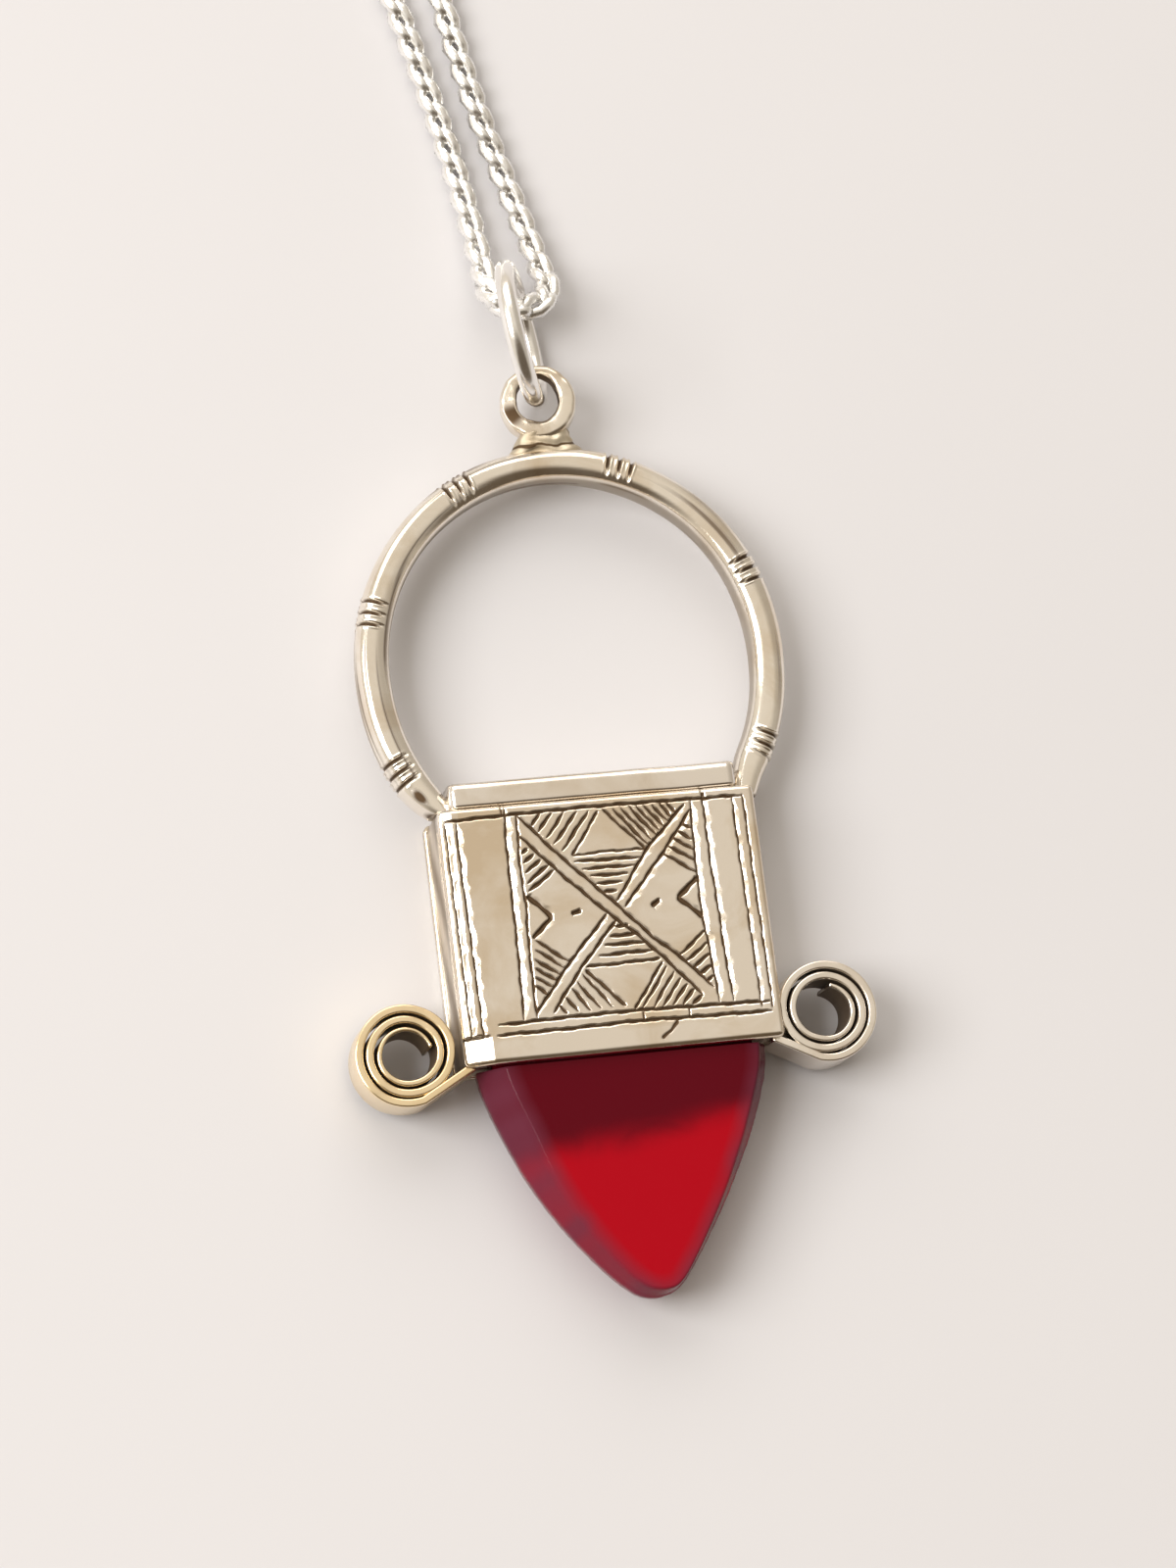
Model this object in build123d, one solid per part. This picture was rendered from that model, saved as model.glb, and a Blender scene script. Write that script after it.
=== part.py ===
from build123d import *
import math
import os

# A silver talisman pendant of the desert smiths, lying face up on a flat surface.
# A flat engraved case carries an open hoop with a small eye on top, two rolled
# scrolls at its lower corners and a red glass point set into its lower side.
# Millimetres. X to the right, Y from the glass point to the eye, Z up off the surface.
# The origin is the middle of the case's back, on the surface.

# Case
CASE_WIDTH = 15.4
CASE_HEIGHT = 12.3
CASE_DEPTH = 4.3
CASE_EDGE_RADIUS = 0.3
BACK_PLATE_THICK = 0.5
BACK_PLATE_PROUD = 0.15

# Lip soldered along the top of the case, between the ends of the hoop
LIP_HALF_LENGTH = 6.9
LIP_HEIGHT = 1.15
LIP_FRONT_Z = 4.0
LIP_FALL = 0.35
LIP_BACK_Z = 0.6

# Cuts engraved on the front of the case: width and depth of the long lines and of the hatching
LINE_CUT = (0.26, 0.13)
HATCH_CUT = (0.17, 0.09)
BORDER_TOP = 5.65
BORDER_BOTTOM = (-4.33, -4.83)
BORDER_BOTTOM_START = -6.4
BORDER_LEFT = (-7.3, -6.75)
BORDER_RIGHT = (6.62, 7.2)
COLUMN_LEFT = (-4.62, -4.05)
COLUMN_RIGHT = (4.5, 5.22)

# The two double bands from corner to corner, as ends of their lines; one passes over the other
BAND_OVER = [
    ((-3.9, 5.5), (4.4, -3.45)),
    ((-3.95, 4.6), (3.9, -3.75)),
]
BAND_UNDER = [
    ((4.22, 5.43), (0.4, 1.04)),
    ((-0.15, 0.47), (-3.95, -3.8)),
    ((4.46, 5.12), (0.74, 0.72)),
    ((0.24, 0.15), (-3.29, -3.9)),
]

# Plain triangles at the top and bottom of the panel, and the wedges at its sides
TRIANGLES = [
    ((0.07, 5.45), (-1.46, 3.41), (2.1, 3.45)),
    ((0.4, -4.1), (-1.5, -2.05), (2.15, -1.95)),
]
WEDGES = [
    ((-3.86, 1.64), (-2.79, 0.54), (-3.86, -0.4)),
    ((4.42, 1.82), (3.3, 0.93), (4.45, -0.1)),
]

# Hatching: the first stroke, the last stroke and how many there are
HATCHING = [
    (((-1.44, 3.12), (1.83, 3.05)), ((-0.19, 1.54), (0.46, 1.51)), 5),
    (((-0.42, 5.5), (-1.95, 3.7)), ((-2.81, 5.55), (-3.27, 5.02)), 5),
    (((0.75, 5.51), (2.26, 3.55)), ((3.4, 5.55), (3.74, 5.07)), 7),
    (((-3.77, 1.85), (-2.43, 2.76)), ((-3.9, 3.7), (-3.5, 3.95)), 5),
    (((4.4, 2.05), (2.87, 3.17)), ((4.37, 4.24), (3.93, 4.57)), 5),
    (((-3.77, -0.55), (-2.26, -1.65)), ((-4.0, -2.7), (-3.4, -3.1)), 6),
    (((4.45, -0.75), (3.07, -1.86)), ((4.5, -2.95), (4.1, -3.2)), 5),
    (((0.15, -0.17), (0.77, -0.18)), ((-0.82, -1.46), (1.94, -1.43)), 4),
    (((-1.67, -2.27), (-0.43, -4.03)), ((-2.97, -3.6), (-2.61, -4.1)), 5),
    (((2.4, -2.27), (0.96, -4.1)), ((3.7, -3.7), (3.4, -4.1)), 5),
]

# Hoop: a bar with rounded edges bent to an open ring
HOOP_CENTRE_Y = 13.2
HOOP_RADIUS = 9.83
HOOP_BAR_WIDTH = 1.65
HOOP_BAR_DEPTH = 2.0
HOOP_BAR_RADIUS = 0.45
HOOP_MID_Z = 2.15
HOOP_ARC_HALF = 125.0
HOOP_FOOT_INNER_X = 7.0
HOOP_FOOT_INNER_TOP = (7.55, 8.25)

# Filed notches on the hoop: three in each group, degrees from its top, to the right
NOTCH_GROUPS = (-118.0, -72.0, -27.0, 20.0, 67.0, 119.0)
NOTCH_STEP = 3.4
NOTCH_HALF_WIDTH = 0.22
NOTCH_DEPTH = 0.26
NOTCH_LENGTH = 2.4

# Eye: a flat strip bent round and soldered on top of the hoop
EYE_CENTRE_Y = 26.25
EYE_OUTER_RADIUS = 1.87
EYE_HOLE_Y = 26.4
EYE_HOLE_RADIUS = 1.2
EYE_DEPTH = 1.2
EYE_MID_Z = 2.4
EYE_TWIST = 8.0
EYE_DRILL_LENGTH = 5.0
FOOT_TOP_WIDTH = 2.5
FOOT_BOTTOM_WIDTH = 4.2
FOOT_LOW_Y = 23.3
FOOT_HIGH_Y = 25.0

# Scrolls: a flat strip that leaves the case's lower corner and curls inwards
SCROLL_CENTRE_X = 10.1
SCROLL_CENTRE_Y = -5.1
SCROLL_RADIUS = 2.2
SCROLL_STRIP = 0.38
SCROLL_GAP = 0.12
SCROLL_HALF_TURNS = 5
SCROLL_START_ANGLE = -110.0
SCROLL_DEPTH = 2.7
SCROLL_BACK_Z = 0.9
SCROLL_ROOT = (7.25, -6.05)

# Glass point: a slab with a tang in the case, bevelled all round on both faces
GLASS_HALF_WIDTH = 7.0
GLASS_SIDE_RADIUS = 20.0
GLASS_TIP_Y = -17.75
GLASS_TIP_RADIUS = 1.7
GLASS_TIP_X = 0.3
GLASS_TIP_SPREAD = 38.0
GLASS_THICK = 3.2
GLASS_MID_Z = 2.15
GLASS_GIRDLE = 0.7
GLASS_BEVEL = 1.15
GLASS_BEVEL_AT_TIP = 1.7
GLASS_FACE_TIP_RADIUS = 1.0
TANG_HALF_WIDTH = 6.3
TANG_THICK = 2.0
TANG_LENGTH = 4.0
SEAT_GAP = 0.1

# Jump ring, standing on its edge through the eye and leaning a little
RING_RADIUS = 3.275
RING_WIRE_RADIUS = 0.475
RING_LEAN = 12.0
RING_CENTRE_Y = 29.5
RING_THROUGH_X = -0.05

# Chain: a tube of the chain's outer size, in two halves from the jump ring to the clasp
CHAIN_RADIUS = 0.625
CHAIN_REST_Z = 0.63
CHAIN_ARC_SHARE = 0.45
CHAIN_IN_RING = (0.0, 30.85, 2.26)

# Clasp: a plain screwed barrel
CLASP_RADIUS = 1.2
CLASP_LENGTH = 9.0
CLASP_NECK_RADIUS = 0.8
CLASP_NECK_LENGTH = 0.9
CLASP_X = -18.0
CLASP_Y = 222.6

# Points of the chain's two halves, hand laid: x, y, height of the middle line
CHAIN_LEFT_POINTS = [
    CHAIN_IN_RING,
    (-1.55, 30.85, 2.26),
    (-1.75, 33.4, 1.15),
    (-2.1, 37.6, CHAIN_REST_Z),
    (-3.3, 43.6, CHAIN_REST_Z),
    (-5.3, 52.0, CHAIN_REST_Z),
    (-11.0, 65.0, CHAIN_REST_Z),
    (-26.0, 85.1, CHAIN_REST_Z),
    (-45.0, 109.4, CHAIN_REST_Z),
    (-59.5, 141.2, CHAIN_REST_Z),
    (-61.0, 175.0, CHAIN_REST_Z),
    (-50.5, 202.5, CHAIN_REST_Z),
    (-37.0, 217.8, CHAIN_REST_Z),
    (-28.5, CLASP_Y, CLASP_RADIUS),
    (CLASP_X - CLASP_LENGTH / 2, CLASP_Y, CLASP_RADIUS),
]
CHAIN_RIGHT_POINTS = [
    CHAIN_IN_RING,
    (1.6, 30.85, 2.26),
    (1.35, 33.6, 1.15),
    (0.4, 37.4, CHAIN_REST_Z),
    (-1.15, 43.2, CHAIN_REST_Z),
    (-2.6, 51.5, CHAIN_REST_Z),
    (-1.5, 65.0, CHAIN_REST_Z),
    (6.5, 88.3, CHAIN_REST_Z),
    (18.0, 115.8, CHAIN_REST_Z),
    (25.5, 148.6, CHAIN_REST_Z),
    (21.5, 180.3, CHAIN_REST_Z),
    (10.5, 204.6, CHAIN_REST_Z),
    (-0.5, 217.8, CHAIN_REST_Z),
    (-7.8, CLASP_Y, CLASP_RADIUS),
    (CLASP_X + CLASP_LENGTH / 2, CLASP_Y, CLASP_RADIUS),
]


def case_body():
    """The case's box with its back plate and the lip on top."""
    body = Pos(0, 0, CASE_DEPTH / 2) * Box(CASE_WIDTH, CASE_HEIGHT, CASE_DEPTH)
    front_edges = body.faces().sort_by(Axis.Z)[-1].edges()
    corner_edges = body.edges().filter_by(Axis.Z)
    body = fillet(list(front_edges) + list(corner_edges), CASE_EDGE_RADIUS)
    plate = Pos(0, 0, BACK_PLATE_THICK / 2) * Box(
        CASE_WIDTH + 2 * BACK_PLATE_PROUD, CASE_HEIGHT + BACK_PLATE_PROUD, BACK_PLATE_THICK
    )
    return body + plate + lip()


def lip():
    """The low bar along the case's top, its front falling away a little."""
    low = CASE_HEIGHT / 2 - CASE_EDGE_RADIUS
    high = CASE_HEIGHT / 2 + LIP_HEIGHT
    outline = Polyline(
        (low, LIP_BACK_Z),
        (high, LIP_BACK_Z),
        (high, LIP_FRONT_Z - LIP_FALL),
        (low, LIP_FRONT_Z),
        close=True,
    )
    profile = Plane.YZ.offset(-LIP_HALF_LENGTH) * make_face(outline)
    return extrude(profile, LIP_HALF_LENGTH * 2)


def cut_line(start, end, size):
    """A graver's cut from start to end on the front of the case: a long three-sided prism."""
    width, depth = size
    length = math.dist(start, end)
    angle = math.degrees(math.atan2(end[1] - start[1], end[0] - start[0]))
    outline = Polyline((-width / 2, 0), (width / 2, 0), (0, -depth), close=True)
    profile = Plane.YZ * make_face(outline)
    place = Pos(start[0], start[1], CASE_DEPTH) * Rot(0, 0, angle)
    return place * extrude(profile, length)


def long_lines():
    """The lines along the four sides, the inner columns, the bands, triangles and wedges."""
    right = CASE_WIDTH / 2 - CASE_EDGE_RADIUS
    low, high = BORDER_BOTTOM[0], BORDER_TOP
    lines = [((-right, high), (right, high))]
    lines += [((BORDER_BOTTOM_START, y), (right, y)) for y in BORDER_BOTTOM]
    lines += [((x, high), (x, low)) for x in BORDER_LEFT + BORDER_RIGHT + COLUMN_LEFT + COLUMN_RIGHT]
    lines += BAND_OVER + BAND_UNDER
    for tip, left, far in TRIANGLES:
        lines += [(tip, left), (tip, far), (left, far)]
    for upper, point, lower in WEDGES:
        lines += [(upper, point), (point, lower)]
    return lines


def hatching():
    """Rows of short strokes, evenly spread from the first to the last of each row."""
    strokes = []
    for first, last, count in HATCHING:
        for row in range(count):
            share = row / (count - 1)
            ends = [Vector(*a) + (Vector(*b) - Vector(*a)) * share for a, b in zip(first, last)]
            strokes.append(tuple((end.X, end.Y) for end in ends))
    return strokes


def hoop():
    """The open ring, with straight feet that stand on the case's upper corners."""
    start = HOOP_ARC_HALF
    profile = Plane.XZ * Pos(HOOP_RADIUS, 0) * RectangleRounded(
        HOOP_BAR_WIDTH, HOOP_BAR_DEPTH, HOOP_BAR_RADIUS
    )
    ring = revolve(profile, Axis.Z, revolution_arc=2 * start)
    ring = Pos(0, HOOP_CENTRE_Y, HOOP_MID_Z) * Rot(0, 0, 90 - start) * ring
    return ring + hoop_foot(1) + hoop_foot(-1)


def hoop_foot(side):
    """The last straight stretch of the hoop on one side, narrowed where it stands."""
    turn = math.radians(HOOP_ARC_HALF)
    bend_x = HOOP_RADIUS * math.sin(turn)
    bend_y = HOOP_CENTRE_Y + HOOP_RADIUS * math.cos(turn)
    run = (bend_y - CASE_HEIGHT / 2 + CASE_EDGE_RADIUS) / math.sin(turn) + HOOP_BAR_WIDTH
    bar = extrude(RectangleRounded(HOOP_BAR_WIDTH, HOOP_BAR_DEPTH, HOOP_BAR_RADIUS), run)
    bar = Pos(bend_x, bend_y, HOOP_MID_Z) * Rot(0, 0, 90 - HOOP_ARC_HALF) * Rot(90, 0, 0) * bar
    seat_y = CASE_HEIGHT / 2 - CASE_EDGE_RADIUS
    keep = Polyline(
        (HOOP_FOOT_INNER_X, seat_y),
        (CASE_WIDTH / 2 + HOOP_BAR_WIDTH, seat_y),
        (HOOP_RADIUS + HOOP_BAR_WIDTH, bend_y + HOOP_BAR_WIDTH),
        HOOP_FOOT_INNER_TOP,
        close=True,
    )
    bar = bar & extrude(make_face(keep), CASE_DEPTH)
    return bar if side > 0 else mirror(bar, Plane.YZ)


def hoop_notches():
    """File cuts over the outer front edge of the hoop: three-sided bars laid across it."""
    corner_x = HOOP_RADIUS + HOOP_BAR_WIDTH / 2 - HOOP_BAR_RADIUS
    corner_z = HOOP_MID_Z + HOOP_BAR_DEPTH / 2 - HOOP_BAR_RADIUS
    across = Plane(origin=(corner_x, 0, corner_z), x_dir=(0, 1, 0), z_dir=(1, 0, -1))
    outline = Polyline(
        (0, HOOP_BAR_RADIUS - NOTCH_DEPTH),
        (NOTCH_HALF_WIDTH * 2, HOOP_BAR_RADIUS + NOTCH_DEPTH),
        (-NOTCH_HALF_WIDTH * 2, HOOP_BAR_RADIUS + NOTCH_DEPTH),
        close=True,
    )
    bar = extrude(across * make_face(outline), NOTCH_LENGTH / 2, both=True)
    cuts = []
    for group in NOTCH_GROUPS:
        for step in (-1, 0, 1):
            angle = 90 - group - step * NOTCH_STEP
            cuts.append(Pos(0, HOOP_CENTRE_Y, 0) * Rot(0, 0, angle) * bar)
    return cuts


def eye():
    """The strip ring on top of the hoop and the solder that holds it."""
    foot_outline = Polyline(
        (-FOOT_BOTTOM_WIDTH / 2, FOOT_LOW_Y),
        (FOOT_BOTTOM_WIDTH / 2, FOOT_LOW_Y),
        (FOOT_TOP_WIDTH / 2, FOOT_HIGH_Y),
        (-FOOT_TOP_WIDTH / 2, FOOT_HIGH_Y),
        close=True,
    )
    foot = extrude(Pos(0, 0, EYE_MID_Z - EYE_DEPTH / 2) * make_face(foot_outline), EYE_DEPTH)
    turn = Rot(0, -EYE_TWIST, 0)
    strip = Pos(0, EYE_CENTRE_Y, EYE_MID_Z) * turn * Cylinder(EYE_OUTER_RADIUS, EYE_DEPTH)
    hole = Pos(0, EYE_HOLE_Y, EYE_MID_Z) * turn * Cylinder(EYE_HOLE_RADIUS, EYE_DRILL_LENGTH)
    return strip + foot - hole


def scroll(side):
    """One rolled scroll: half circles that shrink by half a turn's pitch each time."""
    half = SCROLL_STRIP / 2
    centre = Vector(SCROLL_CENTRE_X, SCROLL_CENTRE_Y)
    radius = SCROLL_RADIUS
    shrink = (SCROLL_STRIP + SCROLL_GAP) / 2
    angle = SCROLL_START_ANGLE
    start_out = Vector(math.cos(math.radians(angle)), math.sin(math.radians(angle)))
    outer_start = centre + start_out * (radius + half)
    inner_start = centre + start_out * (radius - half)
    root = Vector(*SCROLL_ROOT)
    edges = [
        Line(root + start_out * half, outer_start),
        Line(root - start_out * half, root + start_out * half),
        Line(root - start_out * half, inner_start),
    ]
    for turn in range(SCROLL_HALF_TURNS):
        edges.append(CenterArc(centre, radius + half, angle, 180))
        edges.append(CenterArc(centre, radius - half, angle, 180))
        angle += 180
        out = Vector(math.cos(math.radians(angle)), math.sin(math.radians(angle)))
        if turn == SCROLL_HALF_TURNS - 1:
            edges.append(Line(centre + out * (radius + half), centre + out * (radius - half)))
        centre = centre + out * shrink
        radius -= shrink
    strip = extrude(Pos(0, 0, SCROLL_BACK_Z) * make_face(edges), SCROLL_DEPTH)
    return strip if side > 0 else mirror(strip, Plane.YZ)


def tang(gap):
    """The part of the glass inside the case; with a gap it is the pocket that holds it."""
    low = -CASE_HEIGHT / 2 - SEAT_GAP - GLASS_GIRDLE
    high = -CASE_HEIGHT / 2 + TANG_LENGTH + gap
    block = Box(2 * (TANG_HALF_WIDTH + gap), high - low, TANG_THICK + 2 * gap)
    return Pos(0, (low + high) / 2, GLASS_MID_Z) * block


def glass_outline(half_width, tip_y, tip_radius):
    """The glass point's outline: two side arcs and a round tip, a little off the middle."""
    top_y = -CASE_HEIGHT / 2 - SEAT_GAP
    tip_centre = Vector(GLASS_TIP_X, tip_y + tip_radius)
    edges = [Line((-half_width, top_y), (half_width, top_y))]
    ends = []
    for side in (-1, 1):
        spread = math.radians(GLASS_TIP_SPREAD)
        touch = tip_centre + Vector(side * math.cos(spread), -math.sin(spread)) * tip_radius
        edges.append(RadiusArc((side * half_width, top_y), touch, side * GLASS_SIDE_RADIUS))
        ends.append(touch)
    edges.append(ThreePointArc(ends[0], tip_centre - Vector(0, tip_radius), ends[1]))
    return make_face(edges)


def glass_point():
    """The red glass: a slab with a band at mid height and bevels to both faces, and the tang."""
    band_outline = glass_outline(GLASS_HALF_WIDTH, GLASS_TIP_Y, GLASS_TIP_RADIUS)
    face_outline = glass_outline(
        GLASS_HALF_WIDTH - GLASS_BEVEL, GLASS_TIP_Y + GLASS_BEVEL_AT_TIP, GLASS_FACE_TIP_RADIUS
    )
    band_top = GLASS_MID_Z + GLASS_GIRDLE / 2
    band = extrude(Pos(0, 0, band_top - GLASS_GIRDLE) * band_outline, GLASS_GIRDLE)
    face_z = GLASS_MID_Z + GLASS_THICK / 2
    front = loft([Pos(0, 0, band_top) * band_outline, Pos(0, 0, face_z) * face_outline])
    back = mirror(front, Plane.XY.offset(GLASS_MID_Z))
    return band + front + back + tang(0)


def silver_frame():
    """All the silver that is soldered together: case, lip, hoop, eye and scrolls."""
    metal = case_body() + hoop() + eye() + scroll(1) + scroll(-1)
    metal = metal - tang(SEAT_GAP)
    for start, end in long_lines():
        metal = metal - cut_line(start, end, LINE_CUT)
    for start, end in hatching():
        metal = metal - cut_line(start, end, HATCH_CUT)
    for cut in hoop_notches():
        metal = metal - cut
    return metal


def jump_ring():
    """A round wire ring standing on its edge and leaning to the left."""
    lean = math.radians(RING_LEAN)
    centre_z = RING_RADIUS * math.cos(lean) + RING_WIRE_RADIUS
    centre_x = RING_THROUGH_X - math.tan(lean) * (centre_z - EYE_MID_Z)
    ring = Rot(0, 90 - RING_LEAN, 0) * Torus(RING_RADIUS, RING_WIRE_RADIUS)
    return Pos(centre_x, RING_CENTRE_Y, centre_z) * ring


def chain_half(points, name):
    """A tube along the hand-laid points, with an arc at each that is as large as its runs allow."""
    corners = [Vector(*p) for p in points]
    radii = []
    for before, here, after in zip(corners, corners[1:], corners[2:]):
        turn = math.radians((here - before).get_angle(after - here))
        shorter = min((here - before).length, (after - here).length)
        radii.append(CHAIN_ARC_SHARE * shorter / math.tan(turn / 2))
    path = FilletPolyline(*corners, radius=radii)
    print(name, "arc radii", [round(r, 2) for r in radii])
    section = Plane(origin=corners[0], z_dir=corners[1] - corners[0]) * Circle(CHAIN_RADIUS)
    tube = sweep(section, path)
    expected = math.pi * CHAIN_RADIUS ** 2 * path.length
    print(name, "length", round(path.length, 2))
    print(name, "volume", round(tube.volume, 2), "section times length", round(expected, 2))
    return tube


def clasp():
    """The barrel clasp at the far end of the loop, where the chain's ends meet."""
    body_length = CLASP_LENGTH - 2 * CLASP_NECK_LENGTH
    barrel = Cylinder(CLASP_RADIUS, body_length) + Cylinder(CLASP_NECK_RADIUS, CLASP_LENGTH)
    return Pos(CLASP_X, CLASP_Y, CLASP_RADIUS) * Rot(0, 90, 0) * barrel


os.makedirs("parts", exist_ok=True)
nodes = {
    "silver_frame": silver_frame(),
    "red_glass_point": glass_point(),
    "jump_ring": jump_ring(),
    "chain_left": chain_half(CHAIN_LEFT_POINTS, "chain_left"),
    "chain_right": chain_half(CHAIN_RIGHT_POINTS, "chain_right"),
    "barrel_clasp": clasp(),
}
for name, shape in nodes.items():
    print(name, "solids", len(shape.solids()), "volume", round(shape.volume, 2))
    export_step(shape, os.path.join("parts", name + ".step"))
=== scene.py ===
import math
import random

import bmesh
import bpy
import numpy as np
from mathutils import Matrix, Vector, noise


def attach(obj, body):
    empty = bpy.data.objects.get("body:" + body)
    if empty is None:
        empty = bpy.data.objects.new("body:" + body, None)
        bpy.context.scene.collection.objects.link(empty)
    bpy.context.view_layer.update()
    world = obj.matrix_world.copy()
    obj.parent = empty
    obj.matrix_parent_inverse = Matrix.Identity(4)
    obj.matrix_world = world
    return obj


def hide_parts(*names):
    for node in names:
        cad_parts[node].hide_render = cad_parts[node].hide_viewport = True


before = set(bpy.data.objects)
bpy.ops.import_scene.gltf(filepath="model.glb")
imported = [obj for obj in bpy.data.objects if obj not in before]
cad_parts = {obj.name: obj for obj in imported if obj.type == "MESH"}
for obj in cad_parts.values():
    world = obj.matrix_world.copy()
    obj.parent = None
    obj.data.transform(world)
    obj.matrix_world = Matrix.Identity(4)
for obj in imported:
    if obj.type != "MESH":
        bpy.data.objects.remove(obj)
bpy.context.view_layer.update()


# The case: a flat box folded from silver sheet and soldered shut, its front engraved by hand.
# Each stroke of the graver leaves a dark cut, and beside the deep ones a slanted wall that shines.
# All sizes are in millimetres, and a mesh is brought to metres when it is made.
MM = 0.001
CASE_HALF_WIDTH = 7.7
CASE_HALF_HEIGHT = 6.15
CASE_FRONT_Z = 4.3
CASE_BACK_Z = 0.42
FRONT_ROUND = 0.26
ROUND_STEPS = 5
WALL_LEVELS = (3.9, 3.2, 2.5, 1.8, 1.1, 0.6, CASE_BACK_Z)
CELL = 0.05
LEFT_SHOULDER_X = -7.0
LEFT_SHOULDER_SLOPE = 0.36
WORN_CORNER = (-6.3, -4.72)
FRONT_SINK = 0.02
FRONT_WAVE = 0.022
WALL_WAVE = 0.04
# Painted shade on the case's left wall: how dark, and up to what height.
LEFT_WALL_SHADE = 0.58
LEFT_WALL_SHADE_TOP_Z = 3.6
# How the front's strips are toned: the upper left towards the film, the bottom and right lighter by a
# painted sheen.
LEFT_STRIP_TONE = 0.14
LOWER_STRIP_SHEEN = -0.16
RIGHT_STRIP_SHEEN = -0.2
CASE_CLEAN = (0.88, 0.81, 0.72)
CASE_FILM = (0.73, 0.61, 0.46)

# The graver's hand: which side of a cut shines, how far a stroke strays, and how it ends.
BRIGHT_SIDE = Vector((1.0, -0.8))
BRIGHT_WALL_SLOPE = 0.36
SLOW_STRAY = 0.016
QUICK_STRAY = 0.008
WIDTH_STRAY = 0.16
END_WIDTH = 0.4
END_DEPTH = 0.3
OXIDE_FILL = 2.4
HATCH_STRAY = 0.035
HATCH_HALF_WIDTHS = (0.095, 0.125)
HATCH_WALLS = (0.0, 0.0, 0.05)

# Long cuts: points, half width, depth and width of the bright wall.
LONG_CUTS = [
    ([(-7.35, 5.54), (-5.2, 5.6), (-0.92, 5.68), (3.2, 5.65), (7.1, 5.6)], 0.085, 0.15, 0.0),
    ([(-5.98, -4.36), (-2.82, -4.28), (0.58, -4.27), (3.4, -4.33), (7.2, -4.42)], 0.085, 0.15, 0.10),
    ([(-6.1, -4.84), (-2.46, -4.82), (0.89, -4.77), (3.6, -4.84), (7.2, -4.9)], 0.085, 0.15, 0.10),
    ([(-7.36, 5.5), (-7.34, 2.0), (-7.3, -1.5), (-7.26, -4.9)], 0.05, 0.08, 0.30),
    ([(-6.86, 5.5), (-6.84, 2.4), (-6.76, -1.4), (-6.72, -4.9)], 0.06, 0.12, 0.30),
    ([(-4.46, 6.0), (-4.57, 4.1), (-4.61, -0.44), (-4.72, -4.25)], 0.085, 0.15, 0.34),
    ([(-3.92, 5.61), (-4.05, 3.0), (-3.97, 1.29), (-4.08, -0.78), (-4.11, -4.2)], 0.08, 0.14, 0.0),
    ([(4.53, 5.6), (4.43, 2.67), (4.4, -0.09), (4.52, -1.05), (4.72, -4.25)], 0.075, 0.13, 0.32),
    ([(5.15, 6.05), (5.14, 2.61), (5.24, 0.07), (5.25, -1.64), (5.4, -4.25)], 0.075, 0.13, 0.30),
    ([(6.58, 5.65), (6.6, 2.0), (6.66, -1.6), (6.72, -4.7)], 0.065, 0.12, 0.26),
    ([(7.12, 5.7), (7.14, 2.4), (7.2, -1.4), (7.24, -4.8)], 0.065, 0.12, 0.16),
    (
        [(-3.88, 5.56), (-2.26, 3.65), (0.34, 0.9), (1.92, -0.86), (3.17, -1.95), (4.55, -3.5)],
        0.1, 0.17, 0.12,
    ),
    (
        [(-3.94, 4.61), (-1.95, 2.39), (-0.05, 0.46), (1.18, -0.65), (2.3, -1.85), (4.0, -3.85)],
        0.1, 0.17, 0.0,
    ),
    ([(4.22, 5.43), (2.09, 3.36), (0.4, 1.04)], 0.095, 0.15, 0.22),
    ([(-0.15, 0.47), (-2.16, -1.61), (-3.38, -3.1), (-4.14, -4.0)], 0.095, 0.15, 0.20),
    ([(4.46, 5.12), (3.03, 3.32), (0.74, 0.72)], 0.095, 0.15, 0.26),
    ([(0.24, 0.15), (-1.74, -2.03), (-3.29, -4.0)], 0.095, 0.15, 0.10),
    ([(0.0, 5.44), (-1.48, 3.41)], 0.085, 0.14, 0.12),
    ([(0.24, 5.5), (2.12, 3.42)], 0.085, 0.14, 0.0),
    ([(-1.48, 3.4), (0.3, 3.46), (2.1, 3.42)], 0.06, 0.09, 0.10),
    ([(-1.5, -1.98), (0.3, -1.96), (2.15, -1.9)], 0.08, 0.13, 0.0),
    ([(-1.52, -2.1), (-0.72, -3.0), (0.2, -4.0)], 0.11, 0.13, 0.12),
    ([(2.19, -2.07), (0.6, -4.2)], 0.09, 0.14, 0.12),
    ([(-3.88, 1.66), (-2.79, 0.54)], 0.15, 0.15, 0.2),
    ([(-2.79, 0.54), (-3.86, -0.37)], 0.14, 0.15, 0.2),
    ([(4.42, 1.82), (3.32, 0.95)], 0.16, 0.15, 0.16),
    ([(3.32, 0.95), (4.45, -0.1)], 0.15, 0.15, 0.2),
    ([(-4.62, 6.1), (-4.62, 5.62)], 0.06, 0.1, 0.0),
    ([(5.22, 6.5), (5.22, 5.5)], 0.05, 0.09, 0.0),
    ([(0.97, -4.36), (0.95, -4.75)], 0.05, 0.09, 0.0),
    ([(3.2, -4.38), (3.16, -4.8)], 0.05, 0.09, 0.0),
    ([(2.6, -4.95), (2.2, -5.35), (1.72, -5.7)], 0.1, 0.06, 0.12),
    ([(-1.85, 0.62), (-1.4, 0.76)], 0.14, 0.15, 0.12),
    ([(2.04, 0.62), (2.46, 0.92)], 0.14, 0.15, 0.2),
]

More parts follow.
